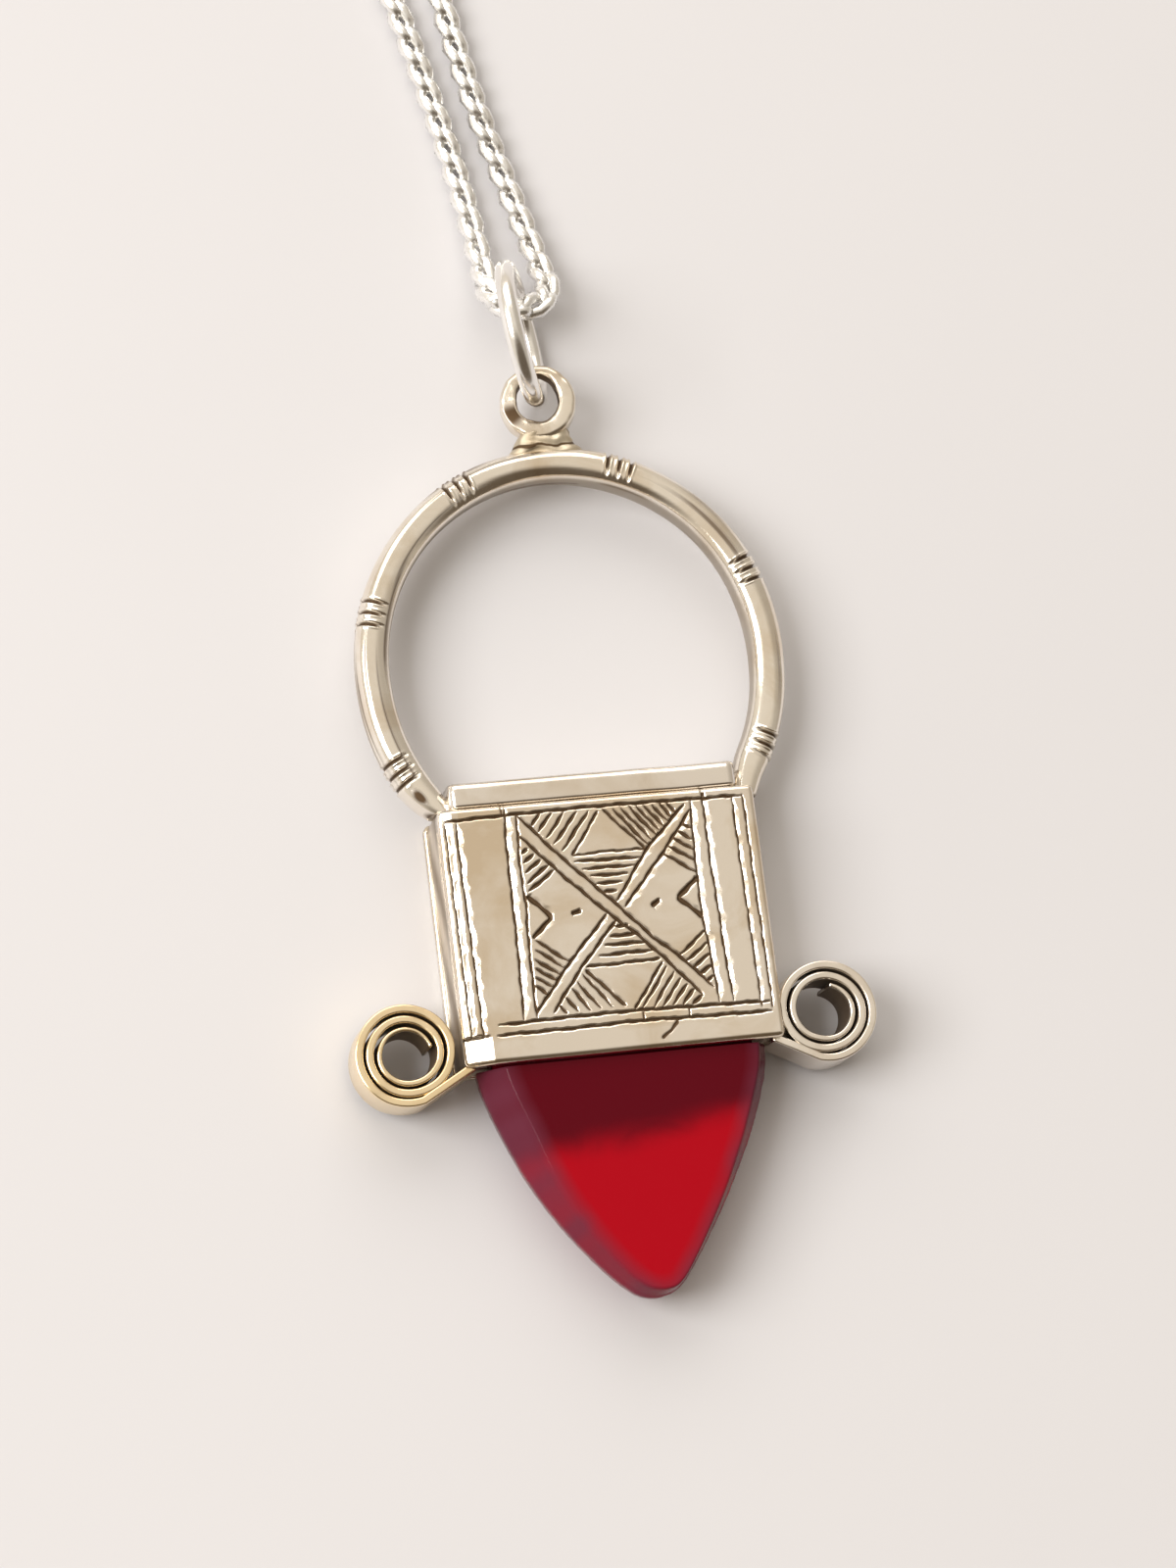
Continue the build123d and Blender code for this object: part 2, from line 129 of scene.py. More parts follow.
# Hatching: first stroke, last stroke, how many, and how deep each is cut.
HATCHING = [
    (((-1.42, 3.12), (1.83, 3.04)), ((-0.19, 1.54), (0.46, 1.51)), 5, 0.11),
    (((-0.42, 5.5), (-1.95, 3.7)), ((-2.81, 5.57), (-3.27, 5.02)), 5, 0.12),
    (((0.75, 5.51), (2.26, 3.6)), ((3.4, 5.58), (3.74, 5.07)), 8, 0.13),
    (((-3.77, 1.83), (-2.43, 2.76)), ((-3.92, 3.7), (-3.55, 3.9)), 5, 0.12),
    (((4.44, 2.04), (2.87, 3.17)), ((4.37, 4.24), (3.93, 4.57)), 5, 0.13),
    (((-3.77, -0.52), (-2.26, -1.65)), ((-4.03, -2.66), (-3.43, -3.09)), 6, 0.12),
    (((4.5, -0.72), (3.07, -1.86)), ((4.6, -2.95), (4.23, -3.2)), 5, 0.12),
    (((0.15, -0.17), (0.77, -0.18)), ((-0.82, -1.5), (1.94, -1.46)), 4, 0.12),
    (((-1.67, -2.27), (-0.43, -4.03)), ((-2.97, -3.6), (-2.61, -4.11)), 5, 0.12),
    (((2.4, -2.27), (0.96, -4.21)), ((3.92, -3.79), (3.39, -4.21)), 6, 0.12),
]

hand = random.Random(7)
columns = round(2 * (CASE_HALF_WIDTH - FRONT_ROUND) / CELL) + 1
rows = round(2 * (CASE_HALF_HEIGHT - FRONT_ROUND) / CELL) + 1
grid_x = np.linspace(-CASE_HALF_WIDTH + FRONT_ROUND, CASE_HALF_WIDTH - FRONT_ROUND, columns)
grid_y = np.linspace(-CASE_HALF_HEIGHT + FRONT_ROUND, CASE_HALF_HEIGHT - FRONT_ROUND, rows)
front_x, front_y = np.meshgrid(grid_x, grid_y)
cut_depth = np.zeros_like(front_x)
front_dark = np.zeros_like(front_x)


def engrave(points, half_width, deep, wall=0.0, taper=0.12):
    """One stroke of the graver: a dark cut that narrows at its ends, with a bright wall beside it."""
    points = [Vector(p) for p in points]
    runs = [(b - a).length for a, b in zip(points, points[1:])]
    whole = sum(runs)
    done = 0.0
    phase = hand.uniform(0.0, math.tau)
    for a, b, run in zip(points, points[1:], runs):
        along = (b - a) / run
        side = Vector((along.y, -along.x))
        if side.dot(BRIGHT_SIDE) < 0:
            side = -side
        reach = half_width * 1.3 + wall + CELL
        in_row = (grid_y > min(a.y, b.y) - reach) & (grid_y < max(a.y, b.y) + reach)
        in_column = (grid_x > min(a.x, b.x) - reach) & (grid_x < max(a.x, b.x) + reach)
        window = np.ix_(in_row, in_column)
        x, y = front_x[window] - a.x, front_y[window] - a.y
        t = x * along.x + y * along.y
        s = x * side.x + y * side.y
        gone = np.maximum(np.maximum(-t, t - run), 0.0)
        way = done + t
        s = s + SLOW_STRAY * np.sin(way * 3.7 + phase) + QUICK_STRAY * np.sin(way * 11.0 + 2 * phase)
        swell = np.clip(np.minimum(way, whole - way) / (taper * whole), 0.0, 1.0) ** 0.6
        width = half_width * (END_WIDTH + (1 - END_WIDTH) * swell)
        width *= 1 + WIDTH_STRAY * np.sin(way * 6.1 + 3 * phase)
        cut = deep * (END_DEPTH + (1 - END_DEPTH) * swell)
        cut *= np.clip(1 - np.hypot(s, gone) / width, 0.0, 1.0)
        beads = 0.72 + 0.2 * np.sin(way * 5.3 + phase) + 0.12 * np.sin(way * 9.1 + 5 * phase)
        bright = width + wall * np.clip(beads, 0.25, 1.0) * swell
        slant = wall * BRIGHT_WALL_SLOPE * swell * np.clip(1 - s / bright, 0.0, 1.0)
        slant[(s < 0) | (gone > 0)] = 0.0
        cut_depth[window] = np.maximum(cut_depth[window], np.maximum(cut, slant))
        front_dark[window] = np.maximum(front_dark[window], np.clip(cut / deep * OXIDE_FILL, 0.0, 1.0))
        done += run


for points, half_width, deep, wall in LONG_CUTS:
    engrave(points, half_width, deep, wall, taper=0.05)
for first, last, count, deep in HATCHING:
    for row in range(count):
        share = row / (count - 1)
        ends = [Vector(a).lerp(Vector(b), share) for a, b in zip(first, last)]
        shift = [Vector([hand.uniform(-HATCH_STRAY, HATCH_STRAY) for _ in (0, 1)]) for _ in ends]
        stroke = [end + move for end, move in zip(ends, shift)]
        engrave(stroke, hand.uniform(*HATCH_HALF_WIDTHS), deep, hand.choice(HATCH_WALLS), taper=0.3)

shoulder = LEFT_SHOULDER_SLOPE * np.maximum(LEFT_SHOULDER_X - front_x, 0.0)
worn = np.clip((WORN_CORNER[1] - front_y) / 0.15, 0.0, 1.0)
shoulder = np.maximum(shoulder, LEFT_SHOULDER_SLOPE * worn * np.maximum(WORN_CORNER[0] - front_x, 0.0))

# The upper left strip is pushed towards the film's tone, and the bottom and right strips are painted
# lighter, a painted sheen in place of their brighter reflection.
left_strip = np.clip((front_y - 0.4) / 0.5, 0.0, 1.0) * (front_x > -6.7) * (front_x < -4.6)
lower_strip = np.clip((-4.9 - front_y) / 0.3, 0.0, 1.0)
right_strip = np.clip((-0.5 - front_y) / 2.5, 0.0, 1.0) * (front_x > 5.3)
front_film_and_sheen = LEFT_STRIP_TONE * left_strip + LOWER_STRIP_SHEEN * lower_strip
front_film_and_sheen += RIGHT_STRIP_SHEEN * right_strip * (1 - lower_strip)
waves = np.sin(front_x * 0.9 + 0.6 * front_y) * np.sin(front_y * 0.7 - 0.3 * front_x + 1.0)
front_z = CASE_FRONT_Z - FRONT_SINK - shoulder + FRONT_WAVE * waves - cut_depth


def add_mesh(name, points, faces, dark=None, film=None):
    """A new object at the origin from points in millimetres, with how dark each point is: tarnished in
    places, in painted shade in others.
    """
    mesh = bpy.data.meshes.new(name)
    mesh.from_pydata((np.asarray(points) * MM).tolist(), [], faces)
    for layer, values in (("tarnish_and_shade", dark), ("film", film)):
        amount = mesh.attributes.new(layer, "FLOAT", "POINT")
        amount.data.foreach_set("value", np.zeros(len(points)) if values is None else np.ravel(values))
    mesh.polygons.foreach_set("use_smooth", [True] * len(mesh.polygons))
    mesh.validate()
    mesh.update()
    piece = bpy.data.objects.new(name, mesh)
    bpy.context.scene.collection.objects.link(piece)
    return piece


def case_mesh():
    """The engraved front as a grid, its rim carried round the edge and down the walls to the back."""
    index = np.arange(rows * columns).reshape(rows, columns)
    quads = np.stack([index[:-1, :-1], index[:-1, 1:], index[1:, 1:], index[1:, :-1]], -1).reshape(-1, 4)
    points = [np.stack([front_x, front_y, front_z], -1).reshape(-1, 3)]
    dark = [front_dark.reshape(-1)]
    film = [front_film_and_sheen.reshape(-1)]
    rim = np.concatenate([index[0, :-1], index[:-1, -1], index[-1, :0:-1], index[:0:-1, 0]])
    base = points[0][rim]
    flat = (CASE_HALF_WIDTH - FRONT_ROUND, CASE_HALF_HEIGHT - FRONT_ROUND)
    near = np.clip((np.abs(base[:, :2]) - flat) / FRONT_ROUND + 1, 0, 1)
    out = near ** 2 * np.sign(base[:, :2])
    out /= np.linalg.norm(out, axis=1)[:, None]
    loops = [base]
    for step in range(1, ROUND_STEPS + 1):
        turn = step * math.pi / (2 * ROUND_STEPS)
        z = base[:, 2] - (1 - math.cos(turn)) * FRONT_ROUND
        loops.append(np.column_stack([base[:, :2] + out * math.sin(turn) * FRONT_ROUND, z]))
    for z in WALL_LEVELS:
        wave = WALL_WAVE * np.sin(base[:, 0] * 0.8 + z) * np.sin(base[:, 1] * 0.9 - z * 1.3)
        inward = (wave - WALL_WAVE) * 0.5
        place = base[:, :2] + out * (FRONT_ROUND + inward)[:, None]
        loops.append(np.column_stack([place, np.full(len(rim), z)]))
    faces = quads.tolist()
    lower = rim
    count = rows * columns
    for loop in loops[1:]:
        upper, lower = lower, count + np.arange(len(rim))
        faces += np.stack([upper, lower, np.roll(lower, -1), np.roll(upper, -1)], -1).tolist()
        points.append(loop)
        # Painted shade: the left wall is darkened, patchily, below a height.
        on_left = (base[:, 0] < -CASE_HALF_WIDTH + FRONT_ROUND + 0.01) & (loop[:, 2] < LEFT_WALL_SHADE_TOP_Z)
        patchy = 0.82 + 0.18 * np.sin(base[:, 1] * 1.3 + loop[:, 2] * 2.1)
        dark.append(LEFT_WALL_SHADE * on_left * patchy)
        film.append(np.zeros(len(rim)))
        count += len(rim)
    faces.append(lower[::-1].tolist())
    points, dark, film = (np.concatenate(rows_of) for rows_of in (points, dark, film))
    return add_mesh("engraved_case", points, faces, dark, film)


def fill(tree, socket, value):
    """Sets a socket to a plain value, or joins it to another node's output."""
    if isinstance(value, bpy.types.NodeSocket):
        tree.links.new(value, socket)
    else:
        socket.default_value = value


def node(tree, kind, settings=None, **sockets):
    """A new node with its settings, its sockets filled by name."""
    made = tree.nodes.new(kind)
    for name, value in (settings or {}).items():
        setattr(made, name, value)
    for name, value in sockets.items():
        fill(tree, made.inputs[name.replace("_", " ")], value)
    return made


def maths(tree, operation, *values):
    """The result of a sum on numbers and other nodes' outputs."""
    made = node(tree, "ShaderNodeMath", {"operation": operation})
    for socket, value in zip(made.inputs, values):
        fill(tree, socket, value)
    return made.outputs["Value"]


def clouds(tree, place, **sizes):
    """A cloudy pattern in three dimensions."""
    return node(tree, "ShaderNodeTexNoise", Vector=place, **sizes).outputs["Fac"]


def ranged(tree, value, curve="LINEAR", **ends):
    """A value brought from one range to another, evenly or with soft ends."""
    made = node(tree, "ShaderNodeMapRange", {"interpolation_type": curve}, Value=value, **ends)
    return made.outputs["Result"]


def colour_mix(tree, share, first, second):
    """A colour between two, by a share that can change from place to place."""
    made = node(tree, "ShaderNodeMix", {"data_type": "RGBA"}, Factor=share, A=first, B=second)
    return made.outputs["Result"]


def tone_ramp(tree, share, first, second, start=0.0, end=1.0):
    """A tone that goes over from the first to the second between two shares."""
    ramp = node(tree, "ShaderNodeValToRGB", Fac=share)
    for stop, position, tone in zip(ramp.color_ramp.elements, (start, end), (first, second)):
        stop.position = position
        stop.color = (*tone, 1.0)
    return ramp.outputs["Color"]


def amount(tree, layer):
    """How dark or how filmed each point of a piece is: the dark marks tarnished places and painted shade,
    the film marks filmed places and painted sheen.
    """
    return node(tree, "ShaderNodeAttribute", {"attribute_name": layer}).outputs["Fac"]


def new_material(name):
    """A new material, its tree and its shader, and the place on the piece."""
    material = bpy.data.materials.new(name)
    material.use_nodes = True
    tree = material.node_tree
    place = tree.nodes.new("ShaderNodeTexCoord").outputs["Object"]
    return material, tree, tree.nodes["Principled BSDF"], place


# The oxide's tone, which also serves for painted shade.
OXIDE_AND_SHADE_TONE = (0.10, 0.058, 0.026)
OXIDE_ROUGHNESS = 0.55
OXIDE_METAL = 0.6
FILM_SPREAD = 0.28
SCRATCH_TURN = (0.0, 0.3, 0.4)
SCRATCH_SCALE = (500.0, 9000.0, 900.0)
SCRATCH_STRENGTH = 0.14
SCRATCH_HEIGHT = 0.00002


def silver(name, clean, film, roughness=0.16, film_start=0.45):
    """Worn silver: a thin warm film in patches, fine scratches, and dark oxide in the cuts; the oxide's
    tone also paints shade where a piece is marked dark.
    """
    material, tree, shader, place = new_material(name)
    patches = clouds(tree, place, Scale=230.0, Detail=5.0, Roughness=0.55, Distortion=0.8)
    grain = clouds(tree, place, Scale=2600.0, Detail=4.0, Roughness=0.6)
    drawn = node(tree, "ShaderNodeMapping", Vector=place, Rotation=SCRATCH_TURN, Scale=SCRATCH_SCALE)
    lines = clouds(tree, drawn.outputs["Vector"], Scale=1.0, Detail=3.0, Roughness=0.7)
    filmed = maths(tree, "ADD", patches, amount(tree, "film"))
    tone = tone_ramp(tree, filmed, clean, film, film_start, film_start + FILM_SPREAD)
    # The dark layer turns the silver to the oxide's tone, both for oxide in the cuts and for painted shade.
    oxide = ranged(tree, amount(tree, "tarnish_and_shade"), "SMOOTHSTEP", From_Min=0.15, From_Max=0.75)
    shine = ranged(tree, grain, To_Min=roughness * 0.6, To_Max=roughness * 1.6)
    worn = node(tree, "ShaderNodeMix", Factor=oxide, A=shine, B=OXIDE_ROUGHNESS)
    depths = {"Strength": SCRATCH_STRENGTH, "Distance": SCRATCH_HEIGHT}
    scratches = node(tree, "ShaderNodeBump", Height=lines, **depths)
    for socket, value in (
        ("Base Color", colour_mix(tree, oxide, tone, (*OXIDE_AND_SHADE_TONE, 1.0))),
        ("Roughness", worn.outputs["Result"]),
        ("Metallic", ranged(tree, oxide, To_Min=1.0, To_Max=OXIDE_METAL)),
        ("Normal", scratches.outputs["Normal"]),
    ):
        tree.links.new(value, shader.inputs[socket])
    return material


case = case_mesh()
case.data.materials.append(silver("case_silver", CASE_CLEAN, CASE_FILM, film_start=0.38))
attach(case, "root")
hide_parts("silver_frame")


# The back plate: flat sheet soldered on last to close the case, standing a hair proud of the walls.
# Its edge shows from the left as a thin light line, with the case's left wall above it darkened by painted
# shade.
PLATE_PROUD = 0.13
PLATE_TOP_Z = 0.5
PLATE_CORNER = 0.35
PLATE_SECTION = (
    (0.0, 0.3), (0.0, 0.1), (0.03, 0.02), (0.1, 0.0), (0.4, 0.0), (0.47, 0.03), (PLATE_TOP_Z, 0.12),
)
PLATE_CLEAN = (0.82, 0.76, 0.66)
PLATE_FILM = (0.6, 0.5, 0.36)


def skin(name, loops, dark=None, ring=False, film=None):
    """A closed surface over loops of points: the ends are capped, or the last loop meets the first."""
    loops = np.asarray(loops, float)
    count, around = loops.shape[:2]
    index = np.arange(count * around).reshape(count, around)
    ahead = np.roll(index, -1, axis=0) if ring else index[1:]
    here = index if ring else index[:-1]
    faces = np.stack([here, np.roll(here, -1, 1), np.roll(ahead, -1, 1), ahead], -1).reshape(-1, 4).tolist()
    if not ring:
        faces += [index[0][::-1].tolist(), index[-1].tolist()]
    piece = add_mesh(name, loops.reshape(-1, 3), faces, dark, film)
    shell = bmesh.new()
    shell.from_mesh(piece.data)
    bmesh.ops.recalc_face_normals(shell, faces=shell.faces)
    shell.to_mesh(piece.data)
    shell.free()
    return piece


def rounded_rectangle(half_x, half_y, corner, z, steps=6):
    """A loop of points round a rectangle with round corners."""
    loop = []
    for quarter, (sign_x, sign_y) in enumerate(((1, 1), (-1, 1), (-1, -1), (1, -1))):
        for step in range(steps + 1):
            turn = math.radians(90) * (quarter + step / steps)
            x = sign_x * (half_x - corner) + corner * math.cos(turn)
            y = sign_y * (half_y - corner) + corner * math.sin(turn)
            loop.append((x, y, z))
    return loop


plate_loops = []
for z, inset in PLATE_SECTION:
    half_x = CASE_HALF_WIDTH + PLATE_PROUD - inset
    half_y = CASE_HALF_HEIGHT + PLATE_PROUD * 0.5 - inset
    plate_loops.append(rounded_rectangle(half_x, half_y, PLATE_CORNER, z))
back_plate = skin("back_plate", plate_loops)
back_plate.data.materials.append(silver("plate_silver", PLATE_CLEAN, PLATE_FILM, roughness=0.24))
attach(back_plate, "root")
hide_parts("silver_frame")


# The lip: a low bar soldered along the top of the case between the feet of the hoop.
# It is rubbed smooth, so its front edge is soft and shines along its whole length.
LIP_ENDS = (-6.93, 6.92)
LIP_PROFILE = [
    (6.12, 0.6), (6.7, 0.58), (7.3, 0.62), (7.42, 0.85), (7.45, 1.8), (7.46, 2.9), (7.46, 3.6),
    (7.42, 3.86), (7.33, 4.0), (7.2, 4.06), (7.0, 4.08), (6.6, 4.09), (6.35, 4.1), (6.24, 4.07),
    (6.17, 3.95), (6.12, 2.5),
]
LIP_STATIONS = 70
LIP_END_ROUND = 0.28
LIP_END_TUCK = 0.1
LIP_SWAY = 0.035
LIP_CLEAN = (0.87, 0.81, 0.74)
LIP_FILM = (0.75, 0.66, 0.55)

profile = np.array(LIP_PROFILE)
middle = profile.mean(axis=0)
lip_loops = []
for station in range(LIP_STATIONS + 1):
    share = station / LIP_STATIONS
    x = LIP_ENDS[0] + share * (LIP_ENDS[1] - LIP_ENDS[0])
    from_end = min(x - LIP_ENDS[0], LIP_ENDS[1] - x)
    rounded = math.sqrt(1 - (1 - min(from_end / LIP_END_ROUND, 1.0)) ** 2)
    tuck = 1 - LIP_END_TUCK + LIP_END_TUCK * rounded
    sway = LIP_SWAY * noise.noise(Vector((x * 0.35, 4.0, 0.0)))
    section = middle + (profile - middle) * tuck
    lip_loops.append([(x, y + sway, z + sway * 0.6) for y, z in section])
lip = skin("top_lip", lip_loops)
lip.data.materials.append(silver("lip_silver", LIP_CLEAN, LIP_FILM, roughness=0.14))
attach(lip, "root")
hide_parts("silver_frame")


# The hoop: a thick bar filed to a soft square, bent to an open ring by eye, so it isn't quite round.
# Six groups of three file cuts cross its outer front edge, and its feet are soldered to the case.
HOOP_CENTRE_Y = 13.2
HOOP_RADIUS = 9.83
HOOP_HALF_WIDTH = 0.825
HOOP_HALF_DEPTH = 1.0
HOOP_MID_Z = 2.15
HOOP_ARC_HALF = 122.0
HOOP_STEP = 0.3
HOOP_OVAL = 0.13
HOOP_SPREAD = 0.14
HOOP_SPREAD_START = 95.0
HOOP_UNEVEN = 0.06
# Painted shade on the inner side of the bar.
INNER_SHADE = 0.5
HOOP_CLEAN = (0.92, 0.86, 0.77)
HOOP_FILM = (0.76, 0.65, 0.51)
FOOT_LENGTH = 2.15
FOOT_BENDS = {-1: -0.2, 1: 0.4}
FOOT_NARROWING = {-1: 0.16, 1: 0.24}
FOOT_FLATTENING = 0.06
FOOT_STAIN = 0.75
FOOT_STAIN_START = 0.72
FOOT_STEPS = 16
NOTCH_GROUPS = (-118.0, -72.0, -27.0, 20.0, 67.0, 119.0)
NOTCH_STEP = 3.3
NOTCH_HALF_WIDTH = 0.13
NOTCH_DEPTH = 0.2
BURR_HEIGHT = 0.05
SECTION_POINTS = 40


def soft_square(half_width, half_depth, power=2.8, count=SECTION_POINTS):
    """A section between a circle and a square; its first point lies on +x, its corners are soft."""
    turns = np.linspace(0.0, math.tau, count, endpoint=False)
    c, s = np.cos(turns), np.sin(turns)
    reach = (np.abs(c) ** power + np.abs(s) ** power) ** (-1.0 / power)
    return np.column_stack([half_width * c * reach, half_depth * s * reach]), turns


def notch_depths(degrees, radius):
    """How deep the file went at this place of the hoop, from 0 to 1, and the burr beside the cut."""
    deep, burr = 0.0, 0.0
    for group in NOTCH_GROUPS:
        for step in (-1, 0, 1):
            off = abs(math.radians(degrees - group - step * NOTCH_STEP)) * radius
            deep = max(deep, 1.0 - off / NOTCH_HALF_WIDTH)
            burr = max(burr, 1.0 - abs(off - NOTCH_HALF_WIDTH * 1.35) / (NOTCH_HALF_WIDTH * 0.5))
    return max(deep, 0.0), max(burr, 0.0)


section, turns = soft_square(HOOP_HALF_WIDTH, HOOP_HALF_DEPTH)
turned = np.column_stack([np.cos(turns), np.sin(turns)])

# The file reached only the outer front part of the bar's section.
filed = np.clip((turns + 0.6) / 0.5, 0, 1) * np.clip((2.2 - turns) / 0.7, 0, 1)
filed = np.maximum(filed, np.clip((turns - math.tau + 0.75) / 0.4, 0, 1))
# Painted shade: the inner side of the bar is darkened, here and along the feet.
inner_shade = INNER_SHADE * np.clip((-turned[:, 0] - 0.7) / 0.2, 0.0, 1.0)
stations = np.arange(-HOOP_ARC_HALF, HOOP_ARC_HALF + HOOP_STEP / 2, HOOP_STEP)
hoop_loops, hoop_dark = [], []
for degrees in stations:
    turn = math.radians(degrees)
    out = Vector((math.sin(turn), math.cos(turn), 0.0))
    past = max(0.0, (abs(degrees) - HOOP_SPREAD_START) / (HOOP_ARC_HALF - HOOP_SPREAD_START))
    lean = HOOP_OVAL * math.cos(2 * turn) + HOOP_SPREAD * past
    centre = Vector((0.0, HOOP_CENTRE_Y, HOOP_MID_Z)) + out * (HOOP_RADIUS + lean)
    deep, burr = notch_depths(degrees, HOOP_RADIUS + HOOP_HALF_WIDTH)
    uneven = [noise.noise(Vector((1.4 * c, 1.4 * s, degrees * 0.03))) for c, s in turned]
    scale = 1.0 + HOOP_UNEVEN * np.array(uneven)
    scale -= (deep * NOTCH_DEPTH - burr * BURR_HEIGHT) * filed / HOOP_HALF_WIDTH
    points = section * scale[:, None]
    hoop_loops.append([centre + out * u + Vector((0, 0, w)) for u, w in points])
    # Painted reflection: dark streaks run lengthwise along the bar, in place of dark surroundings reflected
    # in it.
    reflection_streaks = [noise.noise(Vector((c * 3.4, s * 3.4, 40 + degrees * 0.022))) for c, s in turned]
    stain_and_shade = np.maximum(inner_shade, np.clip(np.array(reflection_streaks) * 1.5 - 0.1, 0.0, 0.6))
    hoop_dark.append(np.maximum(np.clip(deep * 1.1, 0, 1) * filed, stain_and_shade))


def foot_loops(side):
    """The stretch at one end of the hoop, narrowing to its seat on the top of the case."""
    turn = math.radians(side * HOOP_ARC_HALF)
    out = Vector((math.sin(turn), math.cos(turn), 0.0))
    ahead = Vector((-out.y, out.x, 0.0)) * -side
    reach = HOOP_RADIUS + HOOP_OVAL * math.cos(2 * turn) + HOOP_SPREAD
    start = Vector((0.0, HOOP_CENTRE_Y, HOOP_MID_Z)) + out * reach
    loops, dark = [], []
    for step in range(1, FOOT_STEPS + 1):
        share = step / FOOT_STEPS
        centre = start + ahead * FOOT_LENGTH * share + out * FOOT_BENDS[side] * share ** 2
        across = out.lerp(Vector((side, 0.0, 0.0)), share ** 2).normalized()
        narrow = 1.0 - FOOT_NARROWING[side] * share
        flat = 1 - FOOT_FLATTENING * share
        loops.append([centre + across * u * narrow + Vector((0, 0, w * flat)) for u, w in section])
        solder = max(0.0, share - FOOT_STAIN_START) / (1 - FOOT_STAIN_START)
        seat = FOOT_STAIN * solder * (0.6 + 0.4 * np.cos(turns * 3 + side))
        hollow = (side < 0) * np.exp(-((share - 0.4) / 0.25) ** 2 - ((turns - 1.15) / 0.3) ** 2)
        dark.append(np.maximum(np.maximum(seat, hollow), inner_shade))
    return loops, dark


left_loops, left_dark = foot_loops(-1)
right_loops, right_dark = foot_loops(1)
whole_loops = left_loops[::-1] + hoop_loops + right_loops
whole_dark = left_dark[::-1] + hoop_dark + right_dark
hoop = skin("open_hoop", whole_loops, whole_dark)
hoop.data.materials.append(silver("hoop_silver", HOOP_CLEAN, HOOP_FILM, roughness=0.12))
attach(hoop, "root")
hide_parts("silver_frame")


# The eye: a flat strip bent round and soldered on top of the hoop, twisted a little by wear.
# The solder has run out to a broad foot at both sides, and its seams have gone dark.
EYE_CENTRE = Vector((-0.05, 26.28, 2.4))
EYE_OUTER_RADIUS = 1.86
EYE_HALF_WALL = 0.44
EYE_WORN_HALF_WALL = 0.22
EYE_HALF_DEPTH = 0.58
EYE_CORNER = 0.24
EYE_TWIST = math.radians(-8.0)
EYE_STATIONS = 96
EYE_LUMPS = 0.03
EYE_STAIN = 0.8
EYE_STAIN_TURN = math.radians(247)
EYE_INNER_STAIN = 0.75
EYE_CLEAN = (0.88, 0.81, 0.71)
EYE_FILM = (0.62, 0.49, 0.34)
SOLDER_LOW_Y = 23.3
SOLDER_HIGH_Y = 25.15
SOLDER_MID_Z = 2.38
SOLDER_TOP_HALF_WIDTH = 1.05
SOLDER_SPREAD = 1.1
SOLDER_HALF_DEPTH = 0.52
SOLDER_LUMPS = 0.14
SOLDER_EDGE_LIFT = 0.16
SOLDER_STATIONS = 44
SOLDER_POINTS = 48
SOLDER_CLEAN = (0.76, 0.69, 0.56)
SOLDER_FILM = (0.48, 0.39, 0.27)
SLIT_Y = 24.92
SEAM_Y = 24.05
SLIT_HALF_WIDTH = 0.12

twist = Matrix.Rotation(EYE_TWIST, 3, "Y")
eye_loops, eye_dark = [], []
for station in range(EYE_STATIONS):
    turn = math.tau * station / EYE_STATIONS
    out = Vector((math.sin(turn), math.cos(turn), 0.0))
    wear = max(0.0, math.cos(turn)) ** 2
    half_wall = EYE_HALF_WALL + wear * (EYE_WORN_HALF_WALL - EYE_HALF_WALL)
    half_wall *= 1 + 0.1 * noise.noise(Vector((out.x * 1.5, out.y * 1.5, 8.0)))
    radius = EYE_OUTER_RADIUS - half_wall
    strip = rounded_rectangle(half_wall, EYE_HALF_DEPTH, min(EYE_CORNER, half_wall * 0.9), 0.0, steps=5)
    lumps = [EYE_LUMPS * noise.noise(Vector((out.x * 4, out.y * 4, u * 2 + w))) for u, w, _ in strip]
    eye_loops.append([
        twist @ (out * (radius + u + lump) + Vector((0, 0, w + lump))) + EYE_CENTRE
        for (u, w, _), lump in zip(strip, lumps)
    ])
    stain_and_shade = EYE_STAIN * max(0.0, math.cos(turn - EYE_STAIN_TURN)) ** 8
    row = []
    for u, w, _ in strip:
        on_front = abs(u) < half_wall - 0.15 and w > 0
        row.append(max(stain_and_shade * (1.0 if on_front else 0.1), EYE_INNER_STAIN * (u < -half_wall * 0.9)))
    eye_dark.append(row)
eye = skin("eye_strip", eye_loops, eye_dark, ring=True)

